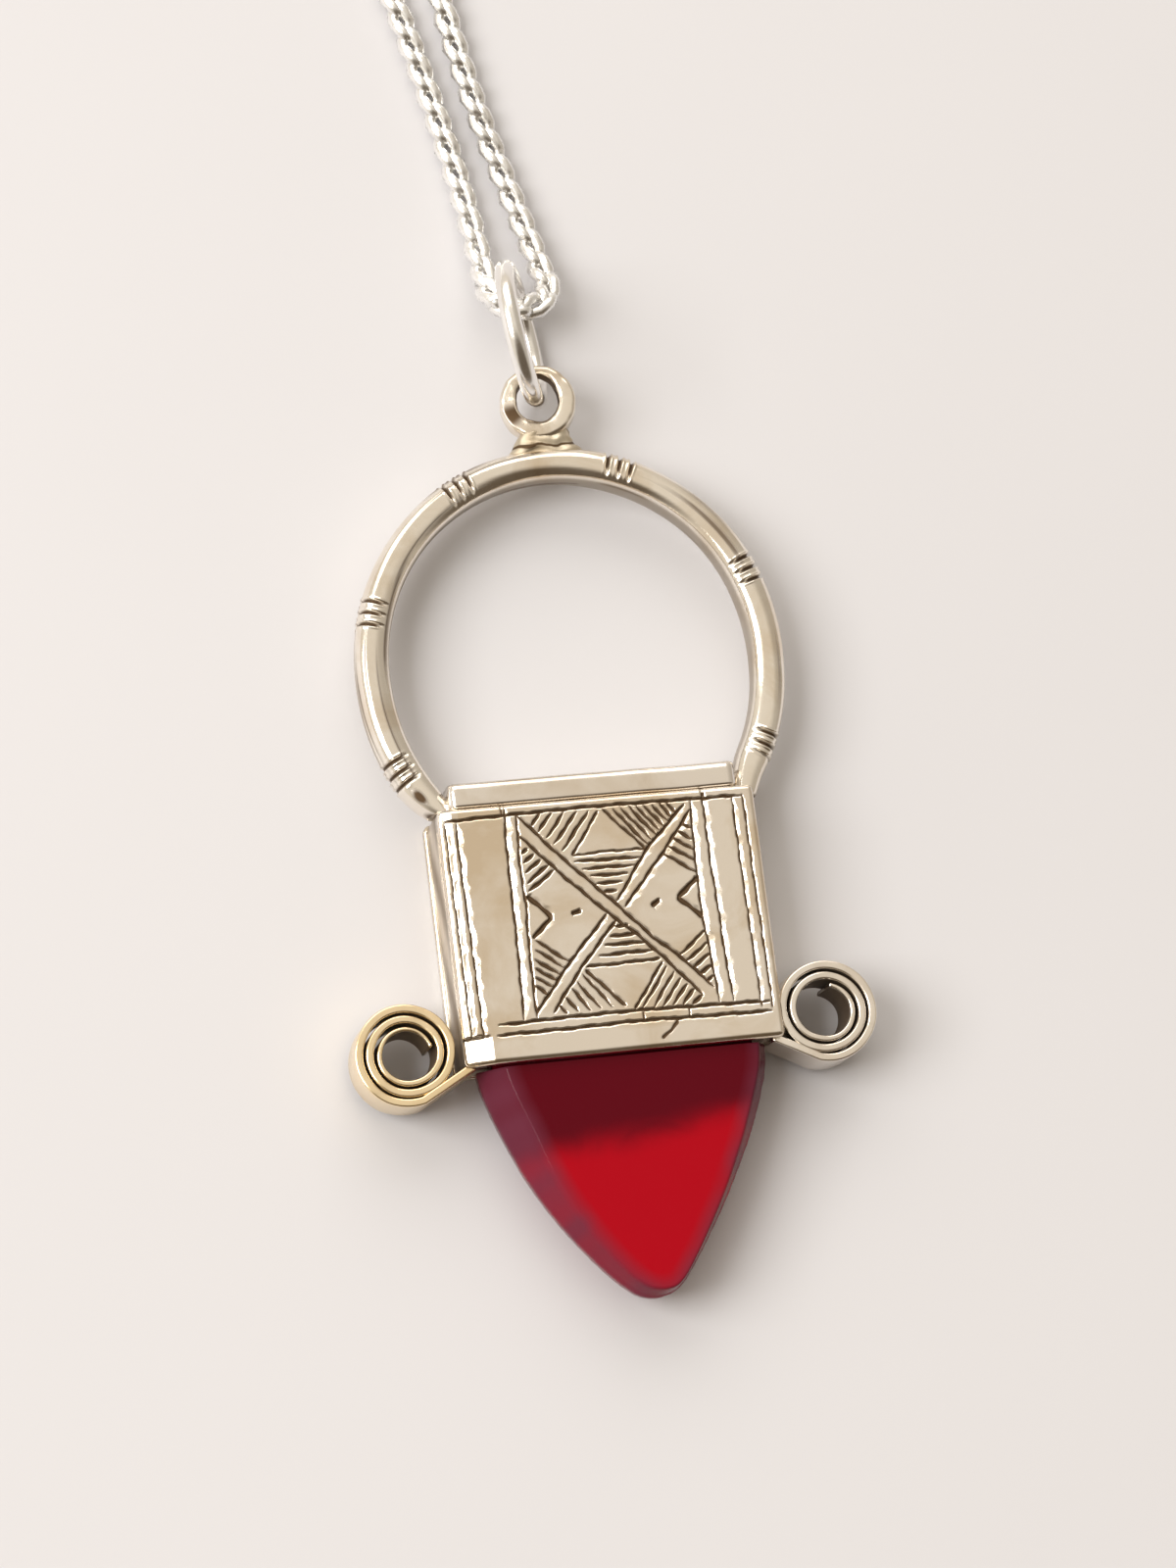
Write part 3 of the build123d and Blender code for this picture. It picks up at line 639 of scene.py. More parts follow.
solder_loops, solder_dark = [], []
blob = soft_square(1.0, 1.0, power=3.0, count=SOLDER_POINTS)[0]
for station in range(SOLDER_STATIONS + 1):
    share = station / SOLDER_STATIONS
    y = SOLDER_LOW_Y + share * (SOLDER_HIGH_Y - SOLDER_LOW_Y)
    half_width = SOLDER_TOP_HALF_WIDTH + SOLDER_SPREAD * (1 - share) ** 1.5
    half_depth = SOLDER_HALF_DEPTH + 0.16 * (1 - share)
    slit = max(0.0, 1 - abs(y - SLIT_Y) / SLIT_HALF_WIDTH)
    close = (1.0 if 0 < station < SOLDER_STATIONS else 0.7) - 0.12 * slit
    loop, stain_and_shade = [], []
    for u, w in blob:
        lump = noise.noise(Vector((u * 2.3, w * 2, y * 3.1)))
        lift = SOLDER_EDGE_LIFT * noise.noise(Vector((u * 1.7, w, 9.0))) * (0 < station < SOLDER_STATIONS)
        x = u * half_width * close + SOLDER_LUMPS * lump
        z = SOLDER_MID_Z + w * half_depth * close + 0.1 * lump
        loop.append((x, y + lift, z))
        edge = SEAM_Y + 0.12 * noise.noise(Vector((u * 3, 0, 5)))
        seam = max(0.0, 1 - abs(y - edge) / SLIT_HALF_WIDTH)
        stain_and_shade.append(min(1.0, 1.6 * slit * (0.7 + 0.6 * lump) + seam + 0.9 * max(0.0, lump)))
    solder_loops.append(loop)
    solder_dark.append(stain_and_shade)
solder = skin("eye_solder", solder_loops, solder_dark)
eye_silver = silver("eye_silver", EYE_CLEAN, EYE_FILM, roughness=0.2, film_start=0.42)
solder_silver = silver("solder_silver", SOLDER_CLEAN, SOLDER_FILM, roughness=0.32, film_start=0.38)
eye.data.materials.append(eye_silver)
solder.data.materials.append(solder_silver)
for piece in (eye, solder):
    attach(piece, "root")
    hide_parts("silver_frame")


# The scrolls: flat strip rolled up on itself from a point under each lower corner of the case.
# The strip is thick outside and hammered thin towards its inner end, and painted shade darkens it between
# the turns, in the tone of oxide.
SCROLL_RADII = (2.44, 2.47, 2.46, 2.36, 1.97, 1.95, 1.93, 1.82, 1.47, 1.43, 1.38, 1.28)
STRIP_THICK = (0.40, 0.41, 0.41, 0.39, 0.39, 0.38, 0.37, 0.34, 0.30, 0.26, 0.21, 0.15)
SCROLL_START = math.radians(-105.0)
SCROLL_ROOT = Vector((7.25, -6.05, 0.0))
SCROLL_BACK_Z = 0.9
SCROLL_FRONT_Z = 3.6
STRIP_CORNER = 0.1
# How far below the front edge an extra point is set on each face, so the painted shade between the turns
# starts crisply.
SHADE_START = 0.2
QUARTER_STATIONS = 26
ROOT_STATIONS = 16
OUTSIDE_QUARTERS = 3.6
# Painted shade between the turns: on the outside of the outer turns, on the rest, and the unshaded band
# along the front edge.
OUTSIDE_SHADE = 0.12
INSIDE_SHADE = 0.66
BRIGHT_EDGE = 0.14
STRIP_WANDER = 0.025
STRIP_LIFT = 0.05
INNER_END_SINK = 0.12

# Side, name, centre and turns of each scroll, with the tones of its clean silver and of its film.
SCROLLS = (
    (-1, "left", (10.32, -5.24), 2.75, (1.0, 0.82, 0.54), (0.92, 0.70, 0.40)),
    (1, "right", (9.97, -5.04), 2.5, (0.92, 0.86, 0.78), (0.80, 0.71, 0.60)),
)


def scroll_loops(side, centre, turns):
    """The strip's sections from its root under the case to its inner end, for one side."""
    half_depth = (SCROLL_FRONT_Z - SCROLL_BACK_Z) / 2
    quarters = np.arange(len(SCROLL_RADII))
    steps = np.arange(0.0, turns * 4 + 0.001, 1 / QUARTER_STATIONS)
    radii = np.interp(steps, quarters, SCROLL_RADII)
    window = np.hanning(QUARTER_STATIONS + 3)
    padded = np.pad(radii, (len(window) // 2, len(window) // 2), mode="edge")
    radii = np.convolve(padded, window / window.sum(), mode="valid")[:len(steps)]
    thick = np.interp(steps, quarters, STRIP_THICK)
    path = []
    for step, radius, strip_thick in zip(steps, radii, thick):
        turn = SCROLL_START + step * math.pi / 2
        reach = radius - strip_thick / 2
        reach += STRIP_WANDER * noise.noise(Vector((math.cos(turn), math.sin(turn), side * 3.0 + step)))
        path.append(Vector((centre[0] + reach * math.cos(turn), centre[1] + reach * math.sin(turn), 0.0)))
    root = [SCROLL_ROOT.lerp(path[0], k / ROOT_STATIONS) for k in range(ROOT_STATIONS)]
    thick = np.concatenate([np.full(ROOT_STATIONS, thick[0]), thick])
    path = root + path
    loops, dark = [], []
    for i, here in enumerate(path):
        ahead = (path[min(i + 1, len(path) - 1)] - path[max(i - 1, 0)]).normalized()
        out = Vector((ahead.y, -ahead.x, 0.0))
        share = i / (len(path) - 1)
        lift = STRIP_LIFT * noise.noise(Vector((here.x, here.y, side * 5.0)))
        centre_z = (SCROLL_FRONT_Z + SCROLL_BACK_Z) / 2 + lift - INNER_END_SINK * max(0.0, share - 0.6)
        corner = min(STRIP_CORNER, thick[i] * 0.45)
        outline = rounded_rectangle(thick[i] / 2, half_depth, corner, 0.0)
        outline.insert(len(outline) // 2, (-thick[i] / 2, half_depth - SHADE_START, 0.0))
        outline.append((thick[i] / 2, half_depth - SHADE_START, 0.0))
        loop, stain_and_shade = [], []
        for u, w, _ in outline:
            point = here + out * u
            loop.append((side * point.x, point.y, centre_z + w))
            # Painted shade between the turns: each face is darkened below a band at the front edge, lightly
            # on the outside of the outer turns.
            below = half_depth - w > BRIGHT_EDGE
            outside = u > 0 and i < ROOT_STATIONS + QUARTER_STATIONS * OUTSIDE_QUARTERS
            stain_and_shade.append(below * (OUTSIDE_SHADE if outside else INSIDE_SHADE))
        loops.append(loop)
        dark.append(stain_and_shade)
    return loops, dark


for side, name, centre, rolled, clean, film in SCROLLS:
    loops, dark = scroll_loops(side, centre, rolled)
    scroll = skin(f"{name}_scroll", loops, dark)
    scroll.data.materials.append(silver(f"{name}_scroll_silver", clean, film, roughness=0.2))
    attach(scroll, "root")
    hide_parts("silver_frame")


# The glass point: a slab of deep red glass ground to a pointed arch, with wide bevels on both faces.
# Its top is set in the case, where a tang holds it, and there painted shade darkens the red; the bevels are
# painted a paler purplish red, a painted reflection.
GLASS_LEFT = [
    (-7.0, -6.25), (-6.9, -7.0), (-6.5, -8.3), (-5.95, -9.75), (-5.0, -11.9), (-3.7, -14.0),
    (-2.25, -15.85),
]
GLASS_TIP = [(-1.1, -17.05), (-0.3, -17.6), (0.6, -17.66), (1.5, -17.3)]
GLASS_RIGHT = [
    (2.65, -15.75), (3.9, -13.85), (4.85, -12.2), (5.8, -10.35), (6.55, -8.5), (6.95, -7.2),
    (7.0, -6.25),
]
GLASS_POINTS = 180
GLASS_TOP_Y = -6.25
GLASS_TIP_X = 0.6
GLASS_TIP_Y = -17.66
GLASS_MID_Z = 2.15
GLASS_HALF_THICK = 1.6
GLASS_HALF_BAND = 0.38
GLASS_EDGE_ROUND = 0.08
GLASS_BEVEL = 1.15
TIP_BEVEL_SHARE = 0.25
BEVEL_GROWTH = 8.0
RIGHT_BEVEL_SHARE = 0.45
BEVEL_SMOOTHING = 15
BEVEL_STEPS = 4
CHIP_DEPTH = 0.035
# Painted reflection on the bevels: how strong, how patchy, and how far it reaches onto the flat face.
BEVEL_SHEEN = 0.85
BEVEL_SHEEN_PATCHES = 0.4
BEVEL_SHEEN_ON_FLAT = 0.9
FLAT_RIM = 0.8
TANG_HALF_WIDTH = 6.25
TANG_TOP_Y = -2.3
TANG_HALF_THICK = 0.98
TANG_SECTION = ((-1, -1), (1, -1), (1, 1), (-1, 1))
TANG_LEVELS = ((-6.6, 0.0), (TANG_TOP_Y - 0.15, 0.0), (TANG_TOP_Y, 0.12))
# Red tones: clear, darkened by painted shade, and the bevels' painted reflection.
CLEAR_RED = (0.42, 0.001, 0.009)
DARK_RED = (0.105, 0.001, 0.007)
BEVEL_REFLECTION_RED = (0.15, 0.03, 0.055)
# Painted shade: where the red is still clear, where it is darkest, and how its edge slants and wanders.
CLEAR_BELOW_Y = -10.5
DARK_ABOVE_Y = -8.3
DARK_LEAN = -0.12
DARK_WANDER = 1.2


def smooth_guide(points, resolution):
    """A fine smooth line past given points, as a mesh of edges."""
    curve = bpy.data.curves.new("guide", "CURVE")
    curve.dimensions = "3D"
    curve.resolution_u = resolution
    spline = curve.splines.new("NURBS")
    spline.points.add(len(points) - 1)
    for point, place in zip(spline.points, points):
        point.co = (*place, 1.0)
    spline.order_u = 3
    spline.use_endpoint_u = True
    guide = bpy.data.objects.new("guide", curve)
    mesh = bpy.data.meshes.new_from_object(guide)
    bpy.data.objects.remove(guide)
    bpy.data.curves.remove(curve)
    return mesh


def smooth_line(points, count):
    """Points evenly spread along a smooth flat line past given points."""
    mesh = smooth_guide([(x, y, 0.0) for x, y in points], 16)
    line = np.array([v.co[:2] for v in mesh.vertices])
    bpy.data.meshes.remove(mesh)
    lengths = np.concatenate([[0.0], np.cumsum(np.linalg.norm(np.diff(line, axis=0), axis=1))])
    wanted = np.linspace(0.0, lengths[-1], count)
    return np.column_stack([np.interp(wanted, lengths, line[:, k]) for k in (0, 1)])


glass_line = smooth_line(GLASS_LEFT + GLASS_TIP + GLASS_RIGHT, GLASS_POINTS)
tangent = np.gradient(glass_line, axis=0)
tangent /= np.linalg.norm(tangent, axis=1)[:, None]
inward = np.column_stack([-tangent[:, 1], tangent[:, 0]])

# The bevel is narrow at the tip and on the right, and widens up the left side.
grown = np.clip((glass_line[:, 1] - GLASS_TIP_Y) / BEVEL_GROWTH, 0.0, 1.0)
bevel_width = GLASS_BEVEL * (TIP_BEVEL_SHARE + (1 - TIP_BEVEL_SHARE) * grown)
bevel_width *= np.where(glass_line[:, 0] > GLASS_TIP_X, RIGHT_BEVEL_SHARE, 1.0)
spread = np.hanning(BEVEL_SMOOTHING)[1:-1] / (BEVEL_SMOOTHING // 2)
bevel_width = np.convolve(np.pad(bevel_width, len(spread) // 2, mode="edge"), spread, mode="valid")


def glass_loop(inset, share, rise):
    """The point's outline drawn in by a distance and a share of its bevel, its top kept straight."""
    line = glass_line + inward * (inset + share * bevel_width)[:, None]
    line[:, 1] = np.minimum(line[:, 1], GLASS_TOP_Y)
    if share == 0.0:
        chips = [CHIP_DEPTH * noise.noise(Vector((x * 2.2, y * 2.2, rise))) for x, y in line]
        line += inward * np.abs(chips)[:, None]
    return np.column_stack([line, np.full(len(line), GLASS_MID_Z + rise)])


edge_z = GLASS_HALF_BAND + GLASS_EDGE_ROUND
bevel_rise = GLASS_HALF_THICK - 0.04 - edge_z
front_steps = [(0.0, 0.0, GLASS_HALF_BAND), (0.05, 0.0, edge_z)]
for step in range(1, BEVEL_STEPS + 1):
    front_steps.append((0.05, step / BEVEL_STEPS, edge_z + bevel_rise * step / BEVEL_STEPS))
for inset, sink in ((0.1, 0.01), (0.18, 0.0), (FLAT_RIM, 0.0)):
    front_steps.append((inset, 1.0, GLASS_HALF_THICK - sink))
back_steps = [(inset, share, -rise) for inset, share, rise in front_steps[::-1]]
steps = back_steps + [(0.0, 0.0, 0.0)] + front_steps
# Painted reflection: the bevels are marked, patchily, fading out across the rim of the flat face.
patches = [noise.noise(Vector((x * 0.8, y * 0.8, 2.0))) for x, y in glass_line]
bevel_sheen_share = BEVEL_SHEEN + BEVEL_SHEEN_PATCHES * np.array(patches)
glass_sheen = []
for inset, share, rise in steps:
    glass_sheen.append(bevel_sheen_share * (1.0 if share < 1.0 else max(0.0, BEVEL_SHEEN_ON_FLAT - inset / FLAT_RIM)))
glass = skin("glass_point", [glass_loop(*step) for step in steps], film=glass_sheen)

tang_loops = []
for y, tuck in TANG_LEVELS:
    half_x, half_z = TANG_HALF_WIDTH - tuck, TANG_HALF_THICK - tuck
    tang_loops.append([(x * half_x, y, GLASS_MID_Z + z * half_z) for x, z in TANG_SECTION])
tang = skin("glass_tang", tang_loops)


def red_glass():
    """Deep red glass, clear red towards the point, darkened by painted shade where it enters the case, with
    a painted reflection on its bevels.
    """
    material, tree, shader, place = new_material("red_glass")
    shader.inputs["IOR"].default_value = 1.52
    shader.inputs["Transmission Weight"].default_value = 0.1
    shader.inputs["Specular IOR Level"].default_value = 0.04
    swirl = clouds(tree, place, Scale=260.0, Detail=3.0, Distortion=1.2)
    # Painted shade: the red darkens towards the case, along a slanting, wandering line.
    split = node(tree, "ShaderNodeSeparateXYZ", Vector=place).outputs
    height = maths(tree, "MULTIPLY_ADD", split["X"], DARK_LEAN, split["Y"])
    height = maths(tree, "MULTIPLY_ADD", swirl, DARK_WANDER * MM, height)
    deep = ranged(tree, height, "SMOOTHERSTEP", From_Min=CLEAR_BELOW_Y * MM, From_Max=DARK_ABOVE_Y * MM)
    tone = tone_ramp(tree, deep, CLEAR_RED, DARK_RED)
    # Painted reflection: the bevels turn a paler purplish red.
    bevel_sheen_mix = ranged(tree, amount(tree, "film"), To_Max=0.85)
    colour = colour_mix(tree, bevel_sheen_mix, tone, (*BEVEL_REFLECTION_RED, 1.0))
    tree.links.new(colour, shader.inputs["Base Color"])
    tree.links.new(ranged(tree, swirl, To_Min=0.03, To_Max=0.1), shader.inputs["Roughness"])
    return material


glass_material = red_glass()
for piece in (glass, tang):
    piece.data.materials.append(glass_material)
    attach(piece, "root")
    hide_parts("red_glass_point")


# The jump ring: round silver wire wound and sawn off, its ends pushed together and left unsoldered.
# It stands on its edge through the eye and leans to the left.
RING_RADIUS = 3.275
RING_WIRE_RADIUS = 0.475
RING_LEAN = math.radians(18.0)
RING_TURN = math.radians(5.0)
RING_CENTRE = Vector((-0.66, 29.52, 3.59))
RING_STATIONS = 120
RING_SIDES = 18
RING_SAW_CUT = math.radians(52.0)
SAW_CUT_PINCH = 0.13
SAW_CUT_REACH = 0.14
SAW_CUT_STAIN_REACH = 0.12
RING_CLEAN = (0.96, 0.94, 0.91)
RING_FILM = (0.86, 0.82, 0.76)

ring_turn = Matrix.Rotation(RING_TURN, 3, "Z") @ Matrix.Rotation(math.radians(90) - RING_LEAN, 3, "Y")
ring_loops, ring_dark = [], []
for station in range(RING_STATIONS):
    turn = math.tau * station / RING_STATIONS
    out = Vector((math.cos(turn), math.sin(turn), 0.0))
    off = abs(turn - RING_SAW_CUT) * RING_RADIUS
    pinch = 1.0 - SAW_CUT_PINCH * max(0.0, 1 - off / SAW_CUT_REACH)
    loop = []
    for step in range(RING_SIDES):
        angle = math.tau * step / RING_SIDES
        local = out * (RING_RADIUS + RING_WIRE_RADIUS * pinch * math.cos(angle))
        local.z = RING_WIRE_RADIUS * pinch * math.sin(angle)
        loop.append(ring_turn @ local + RING_CENTRE)
    ring_loops.append(loop)
    ring_dark.append(np.full(RING_SIDES, max(0.0, 1 - off / SAW_CUT_STAIN_REACH)))
jump_ring = skin("jump_ring_wire", ring_loops, ring_dark, ring=True)
jump_ring.data.materials.append(silver("ring_silver", RING_CLEAN, RING_FILM, roughness=0.17))
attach(jump_ring, "root")
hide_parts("jump_ring")


# The neck chain: fine curb chain of oval links of silver wire, each twisted so that the next one
# nests in it. It runs through the jump ring and lies on the table in one loop that the clasp closes.
# The wire is drawn stouter than a real link's, so neighbouring links cut a little into each other.
CHAIN_PITCH = 1.4
LINK_HALF_LENGTH = 0.98
LINK_HALF_WIDTH = 0.39
LINK_WIRE_RADIUS = 0.315
LINK_TWIST = math.radians(-75.0)
LINK_SIDES = 12
LINK_WIRE_SIDES = 6
CHAIN_ROLL = 1.0
CHAIN_CLEAN = (0.97, 0.96, 0.94)
CHAIN_FILM = (0.9, 0.88, 0.85)
REST_Z = 0.58
CLASP_X = -18.0
CLASP_Y = 222.6
CLASP_Z = 1.2
CHAIN_TO_CLASP = 4.5
IN_THE_RING = (-0.2, 31.3, 2.6)
LEFT_ROUTE = [
    (-1.6, 31.4, 2.5), (-1.7, 33.6, 1.1), (-2.05, 37.6, REST_Z), (-3.25, 43.6, REST_Z),
    (-5.3, 52.0, REST_Z), (-11.0, 65.0, REST_Z), (-26.0, 85.1, REST_Z), (-45.0, 109.4, REST_Z),
    (-59.5, 141.2, REST_Z), (-61.0, 175.0, REST_Z), (-50.5, 202.5, REST_Z), (-37.0, 217.8, REST_Z),
    (-28.5, CLASP_Y, CLASP_Z), (CLASP_X - CHAIN_TO_CLASP, CLASP_Y, CLASP_Z),
]
RIGHT_ROUTE = [
    (1.25, 31.4, 2.5), (1.2, 33.7, 1.1), (0.35, 37.4, REST_Z), (-1.15, 43.2, REST_Z),
    (-2.6, 51.5, REST_Z), (-1.5, 65.0, REST_Z), (6.5, 88.3, REST_Z), (18.0, 115.8, REST_Z),
    (25.5, 148.6, REST_Z), (21.5, 180.3, REST_Z), (10.5, 204.6, REST_Z), (-0.5, 217.8, REST_Z),
    (-7.8, CLASP_Y, CLASP_Z), (CLASP_X + CHAIN_TO_CLASP, CLASP_Y, CLASP_Z),
]
route = LEFT_ROUTE[::-1] + [IN_THE_RING] + RIGHT_ROUTE
neck_chain = bpy.data.objects.new("neck_chain", smooth_guide([Vector(p) * MM for p in route], 12))
bpy.context.scene.collection.objects.link(neck_chain)
chain_silver = silver("chain_silver", CHAIN_CLEAN, CHAIN_FILM, roughness=0.26)


def curb_chain_tree():
    """Twisted oval links set end to end along a route, all alike, with a slow roll of the whole row."""
    tree = bpy.data.node_groups.new("curb_chain", "GeometryNodeTree")
    tree.interface.new_socket("Route", in_out="INPUT", socket_type="NodeSocketGeometry")
    for name in ("Pitch", "Half length", "Half width", "Wire radius", "Twist", "Roll"):
        tree.interface.new_socket(name, in_out="INPUT", socket_type="NodeSocketFloat")
    tree.interface.new_socket("Chain", in_out="OUTPUT", socket_type="NodeSocketGeometry")
    given = tree.nodes.new("NodeGroupInput").outputs
    here = tree.nodes.new("GeometryNodeInputPosition").outputs["Position"]

    oval = node(tree, "GeometryNodeCurvePrimitiveCircle", Resolution=LINK_SIDES, Radius=1.0)
    split = node(tree, "ShaderNodeSeparateXYZ", Vector=here).outputs
    angle = maths(tree, "MULTIPLY", split["X"], given["Twist"])
    side = maths(tree, "MULTIPLY", split["Y"], given["Half width"])
    shape = node(
        tree,
        "ShaderNodeCombineXYZ",
        X=maths(tree, "MULTIPLY", split["X"], given["Half length"]),
        Y=maths(tree, "MULTIPLY", side, maths(tree, "COSINE", angle)),
        Z=maths(tree, "MULTIPLY", side, maths(tree, "SINE", angle)),
    ).outputs["Vector"]
    bent = node(tree, "GeometryNodeSetPosition", Geometry=oval.outputs["Curve"], Position=shape)
    wire = node(
        tree, "GeometryNodeCurvePrimitiveCircle", Resolution=LINK_WIRE_SIDES, Radius=given["Wire radius"]
    ).outputs["Curve"]
    one_link = node(tree, "GeometryNodeCurveToMesh", Curve=bent.outputs["Geometry"], Profile_Curve=wire)

    path = node(tree, "GeometryNodeMeshToCurve", Mesh=given["Route"]).outputs["Curve"]
    spaced = node(tree, "GeometryNodeResampleCurve", {"mode": "LENGTH"}, Curve=path, Length=given["Pitch"])
    tangent = tree.nodes.new("GeometryNodeInputTangent").outputs["Tangent"]
    heading = (0.0, 0.0, 0.0)
    for pivot in ("Z", "Y"):
        aim = tree.nodes.new("FunctionNodeAlignRotationToVector")
        aim.axis = "X"
        aim.pivot_axis = pivot
        fill(tree, aim.inputs["Rotation"], heading)
        fill(tree, aim.inputs["Vector"], tangent)
        heading = aim.outputs["Rotation"]
    centred = maths(tree, "SUBTRACT", clouds(tree, here, Scale=90.0, Detail=1.0), 0.5)
    roll = maths(tree, "MULTIPLY", centred, given["Roll"])
    roll = node(tree, "FunctionNodeAxisAngleToRotation", Axis=(1.0, 0.0, 0.0), Angle=roll)
    rolled = tree.nodes.new("FunctionNodeRotateRotation")
    rolled.rotation_space = "LOCAL"
    fill(tree, rolled.inputs["Rotation"], heading)
    fill(tree, rolled.inputs["Rotate By"], roll.outputs["Rotation"])
    placed = node(
        tree,
        "GeometryNodeInstanceOnPoints",
        Points=spaced.outputs["Curve"],
        Instance=one_link.outputs["Mesh"],
        Rotation=rolled.outputs["Rotation"],
    )
    real = node(tree, "GeometryNodeRealizeInstances", Geometry=placed.outputs["Instances"])
    real = real.outputs["Geometry"]
    finish = node(tree, "GeometryNodeSetMaterial", Geometry=real, Material=chain_silver)
    tree.links.new(finish.outputs["Geometry"], tree.nodes.new("NodeGroupOutput").inputs["Chain"])
    return tree


link_sizes = {
    "Pitch": CHAIN_PITCH * MM,
    "Half length": LINK_HALF_LENGTH * MM,
    "Half width": LINK_HALF_WIDTH * MM,
    "Wire radius": LINK_WIRE_RADIUS * MM,
    "Twist": LINK_TWIST,
    "Roll": CHAIN_ROLL,
}
modifier = neck_chain.modifiers.new("shape", "NODES")
modifier.node_group = curb_chain_tree()
for item in modifier.node_group.interface.items_tree:
    if item.name in link_sizes:
        modifier[item.identifier] = link_sizes[item.name]
bpy.context.view_layer.update()
ready = neck_chain.evaluated_get(bpy.context.evaluated_depsgraph_get())
chain_mesh = bpy.data.meshes.new_from_object(ready)
neck_chain.modifiers.remove(modifier)
neck_chain.data = chain_mesh
chain_mesh.polygons.foreach_set("use_smooth", [True] * len(chain_mesh.polygons))
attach(neck_chain, "root")
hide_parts("chain_left", "chain_right")


# The clasp: a plain barrel in two halves that screw together, with a small loop at each end.
# The join shows as a fine groove, and both halves are knurled for the fingers.
BARREL_HALF = 3.6
BARREL_PROFILE = [
    (-3.6, 0.3), (-3.58, 0.7), (-3.4, 1.0), (-3.1, 1.13), (-2.9, 1.02), (-2.75, 1.15), (-1.6, 1.18),
    (-0.3, 1.18), (-0.12, 1.14), (0.0, 1.04), (0.12, 1.14), (0.3, 1.18), (1.6, 1.18), (2.75, 1.15),
    (2.9, 1.02), (3.1, 1.13), (3.4, 1.0), (3.58, 0.7), (3.6, 0.3),
]
KNURLS = 32
KNURL_DEPTH = 0.05
KNURL_START = 0.35
KNURL_END = 2.8
END_LOOP_RADIUS = 0.42
END_LOOP_WIRE_RADIUS = 0.15
END_LOOP_STATIONS = 28
END_LOOP_SIDES = 10

barrel_loops = []
for place, radius in BARREL_PROFILE:
    loop = []
    for step in range(KNURLS * 3):
        turn = math.tau * step / (KNURLS * 3)
        knurled = KNURL_START < abs(place) < KNURL_END
        grip = radius - (KNURL_DEPTH if knurled and step % 3 == 0 else 0.0)
        loop.append((CLASP_X + place, CLASP_Y + grip * math.cos(turn), CLASP_Z + grip * math.sin(turn)))
    barrel_loops.append(loop)
barrel = skin("clasp_barrel", barrel_loops)
pieces = [barrel]
for side, name in ((-1, "left"), (1, "right")):
    loops = []
    loop_centre = Vector((CLASP_X + side * (BARREL_HALF + END_LOOP_RADIUS), CLASP_Y, CLASP_Z))
    for station in range(END_LOOP_STATIONS):
        turn = math.tau * station / END_LOOP_STATIONS
        out = Vector((math.cos(turn), 0.0, math.sin(turn)))
        centre = loop_centre + out * END_LOOP_RADIUS
        loop = []
        for step in range(END_LOOP_SIDES):
            angle = math.tau * step / END_LOOP_SIDES
            across = Vector((0.0, END_LOOP_WIRE_RADIUS * math.sin(angle), 0.0))
            loop.append(centre + out * END_LOOP_WIRE_RADIUS * math.cos(angle) + across)
        loops.append(loop)
    pieces.append(skin(f"clasp_{name}_loop", loops, ring=True))
for piece in pieces:
    piece.data.materials.append(chain_silver)
    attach(piece, "root")
    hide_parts("barrel_clasp")


# The surface, the light and the camera: a pale plain table, two soft lamps and a warm white room.
# The camera looks down on the pendant from its lower left, as the photograph does.
FLOOR_HALF = 4.0
FLOOR_DROP = 0.00001
FLOOR_ROUGHNESS = 0.55
FLOOR_DARK = (0.66, 0.65, 0.67)
FLOOR_PALE = (0.71, 0.70, 0.72)
CAMERA_TARGET = Vector((0.13, 7.23, 2.15)) * MM
CAMERA_DISTANCE = 0.2074
CAMERA_AZIMUTH = math.radians(-44.08)
CAMERA_ELEVATION = math.radians(73.87)
CAMERA_ROLL = math.radians(38.05)
CAMERA_LENS = 99.0
ROOM_LIGHT = (0.78, 0.71, 0.61)
ROOM_SHADE = (0.13, 0.10, 0.07)
ROOM_SEEN = (0.62, 0.6, 0.58)

# Each lamp's name, place, size, power and colour.
LAMPS = (
    ("window_lamp", (-0.5, 0.06, 0.52), (0.36, 0.45), 4.0, (1.0, 0.99, 0.97)),
    ("top_lamp", (-0.1, 0.62, 0.5), (0.8, 0.5), 2.2, (1.0, 0.98, 0.95)),
)

# The room's dark sides: the way to each, how near that way it starts and is full, and how dark it is.
SHADE_SIDES = (
    (Vector((0.2, -0.87, 0.45)), 0.45, 0.85, 1.0),
    (Vector((0.95, 0.1, 0.3)), 0.5, 0.95, 0.45),
)

floor_mesh = bpy.data.meshes.new("table")
corners = [(x * FLOOR_HALF, y * FLOOR_HALF, -FLOOR_DROP) for x, y in ((-1, -1), (1, -1), (1, 1), (-1, 1))]
floor_mesh.from_pydata(corners, [], [(0, 1, 2, 3)])
floor = bpy.data.objects.new("table", floor_mesh)
bpy.context.scene.collection.objects.link(floor)
pale_table, tree, shader, place = new_material("pale_table")
cloud = clouds(tree, place, Scale=14.0, Detail=3.0)
tree.links.new(tone_ramp(tree, cloud, FLOOR_DARK, FLOOR_PALE), shader.inputs["Base Color"])
shader.inputs["Roughness"].default_value = FLOOR_ROUGHNESS
floor.data.materials.append(pale_table)

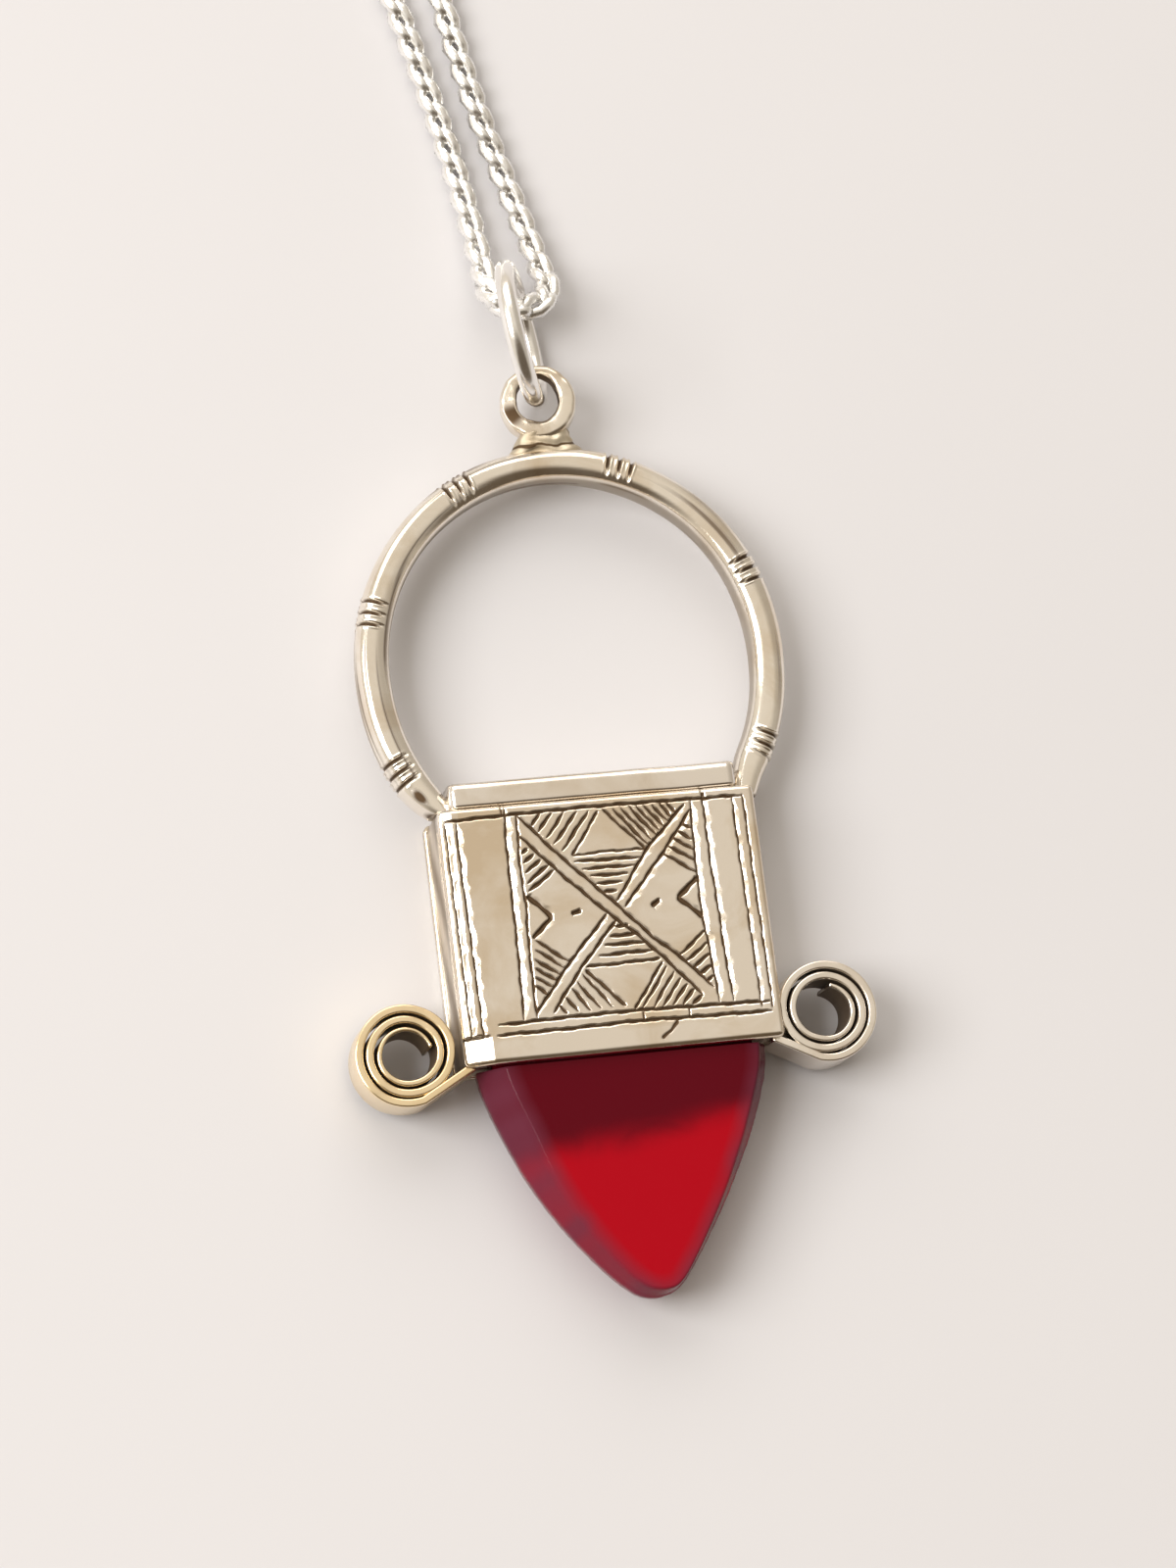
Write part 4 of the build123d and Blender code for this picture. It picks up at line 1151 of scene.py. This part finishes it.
for name, place, size, power, colour in LAMPS:
    light = bpy.data.lights.new(name, "AREA")
    light.shape = "RECTANGLE"
    light.size, light.size_y = size
    light.energy = power
    light.color = colour
    lamp = bpy.data.objects.new(name, light)
    lamp.location = place
    lamp.rotation_euler = (Vector(place) - CAMERA_TARGET).to_track_quat("Z", "Y").to_euler()
    bpy.context.scene.collection.objects.link(lamp)

world = bpy.data.worlds.new("room")
world.use_nodes = True
room = world.node_tree
heading = room.nodes.new("ShaderNodeTexCoord").outputs["Generated"]
shade = 0.0
for direction, edge, core, strength in SHADE_SIDES:
    facing = node(room, "ShaderNodeVectorMath", {"operation": "DOT_PRODUCT"})
    room.links.new(heading, facing.inputs[0])
    facing.inputs[1].default_value = direction.normalized()
    ends = {"From_Min": edge, "From_Max": core, "To_Max": strength}
    part = ranged(room, facing.outputs["Value"], "SMOOTHSTEP", **ends)
    shade = maths(room, "MAXIMUM", shade, part)
tones = colour_mix(room, shade, (*ROOM_LIGHT, 1.0), (*ROOM_SHADE, 1.0))
camera_ray = room.nodes.new("ShaderNodeLightPath").outputs["Is Camera Ray"]
seen = colour_mix(room, camera_ray, tones, (*ROOM_SEEN, 1.0))
room.links.new(seen, room.nodes["Background"].inputs["Color"])
bpy.context.scene.world = world
bpy.context.scene.view_settings.view_transform = "Standard"

camera = bpy.data.objects.new("camera", bpy.data.cameras.new("camera"))
camera.data.lens = CAMERA_LENS
camera.data.clip_start = 0.01
back = Vector((
    math.sin(CAMERA_AZIMUTH) * math.cos(CAMERA_ELEVATION),
    -math.cos(CAMERA_AZIMUTH) * math.cos(CAMERA_ELEVATION),
    math.sin(CAMERA_ELEVATION),
))
aim = (-back).to_track_quat("-Z", "Y").to_matrix() @ Matrix.Rotation(CAMERA_ROLL, 3, "Z")
camera.matrix_world = Matrix.Translation(CAMERA_TARGET + back * CAMERA_DISTANCE) @ aim.to_4x4()
bpy.context.scene.collection.objects.link(camera)
bpy.context.scene.camera = camera

bpy.context.view_layer.update()
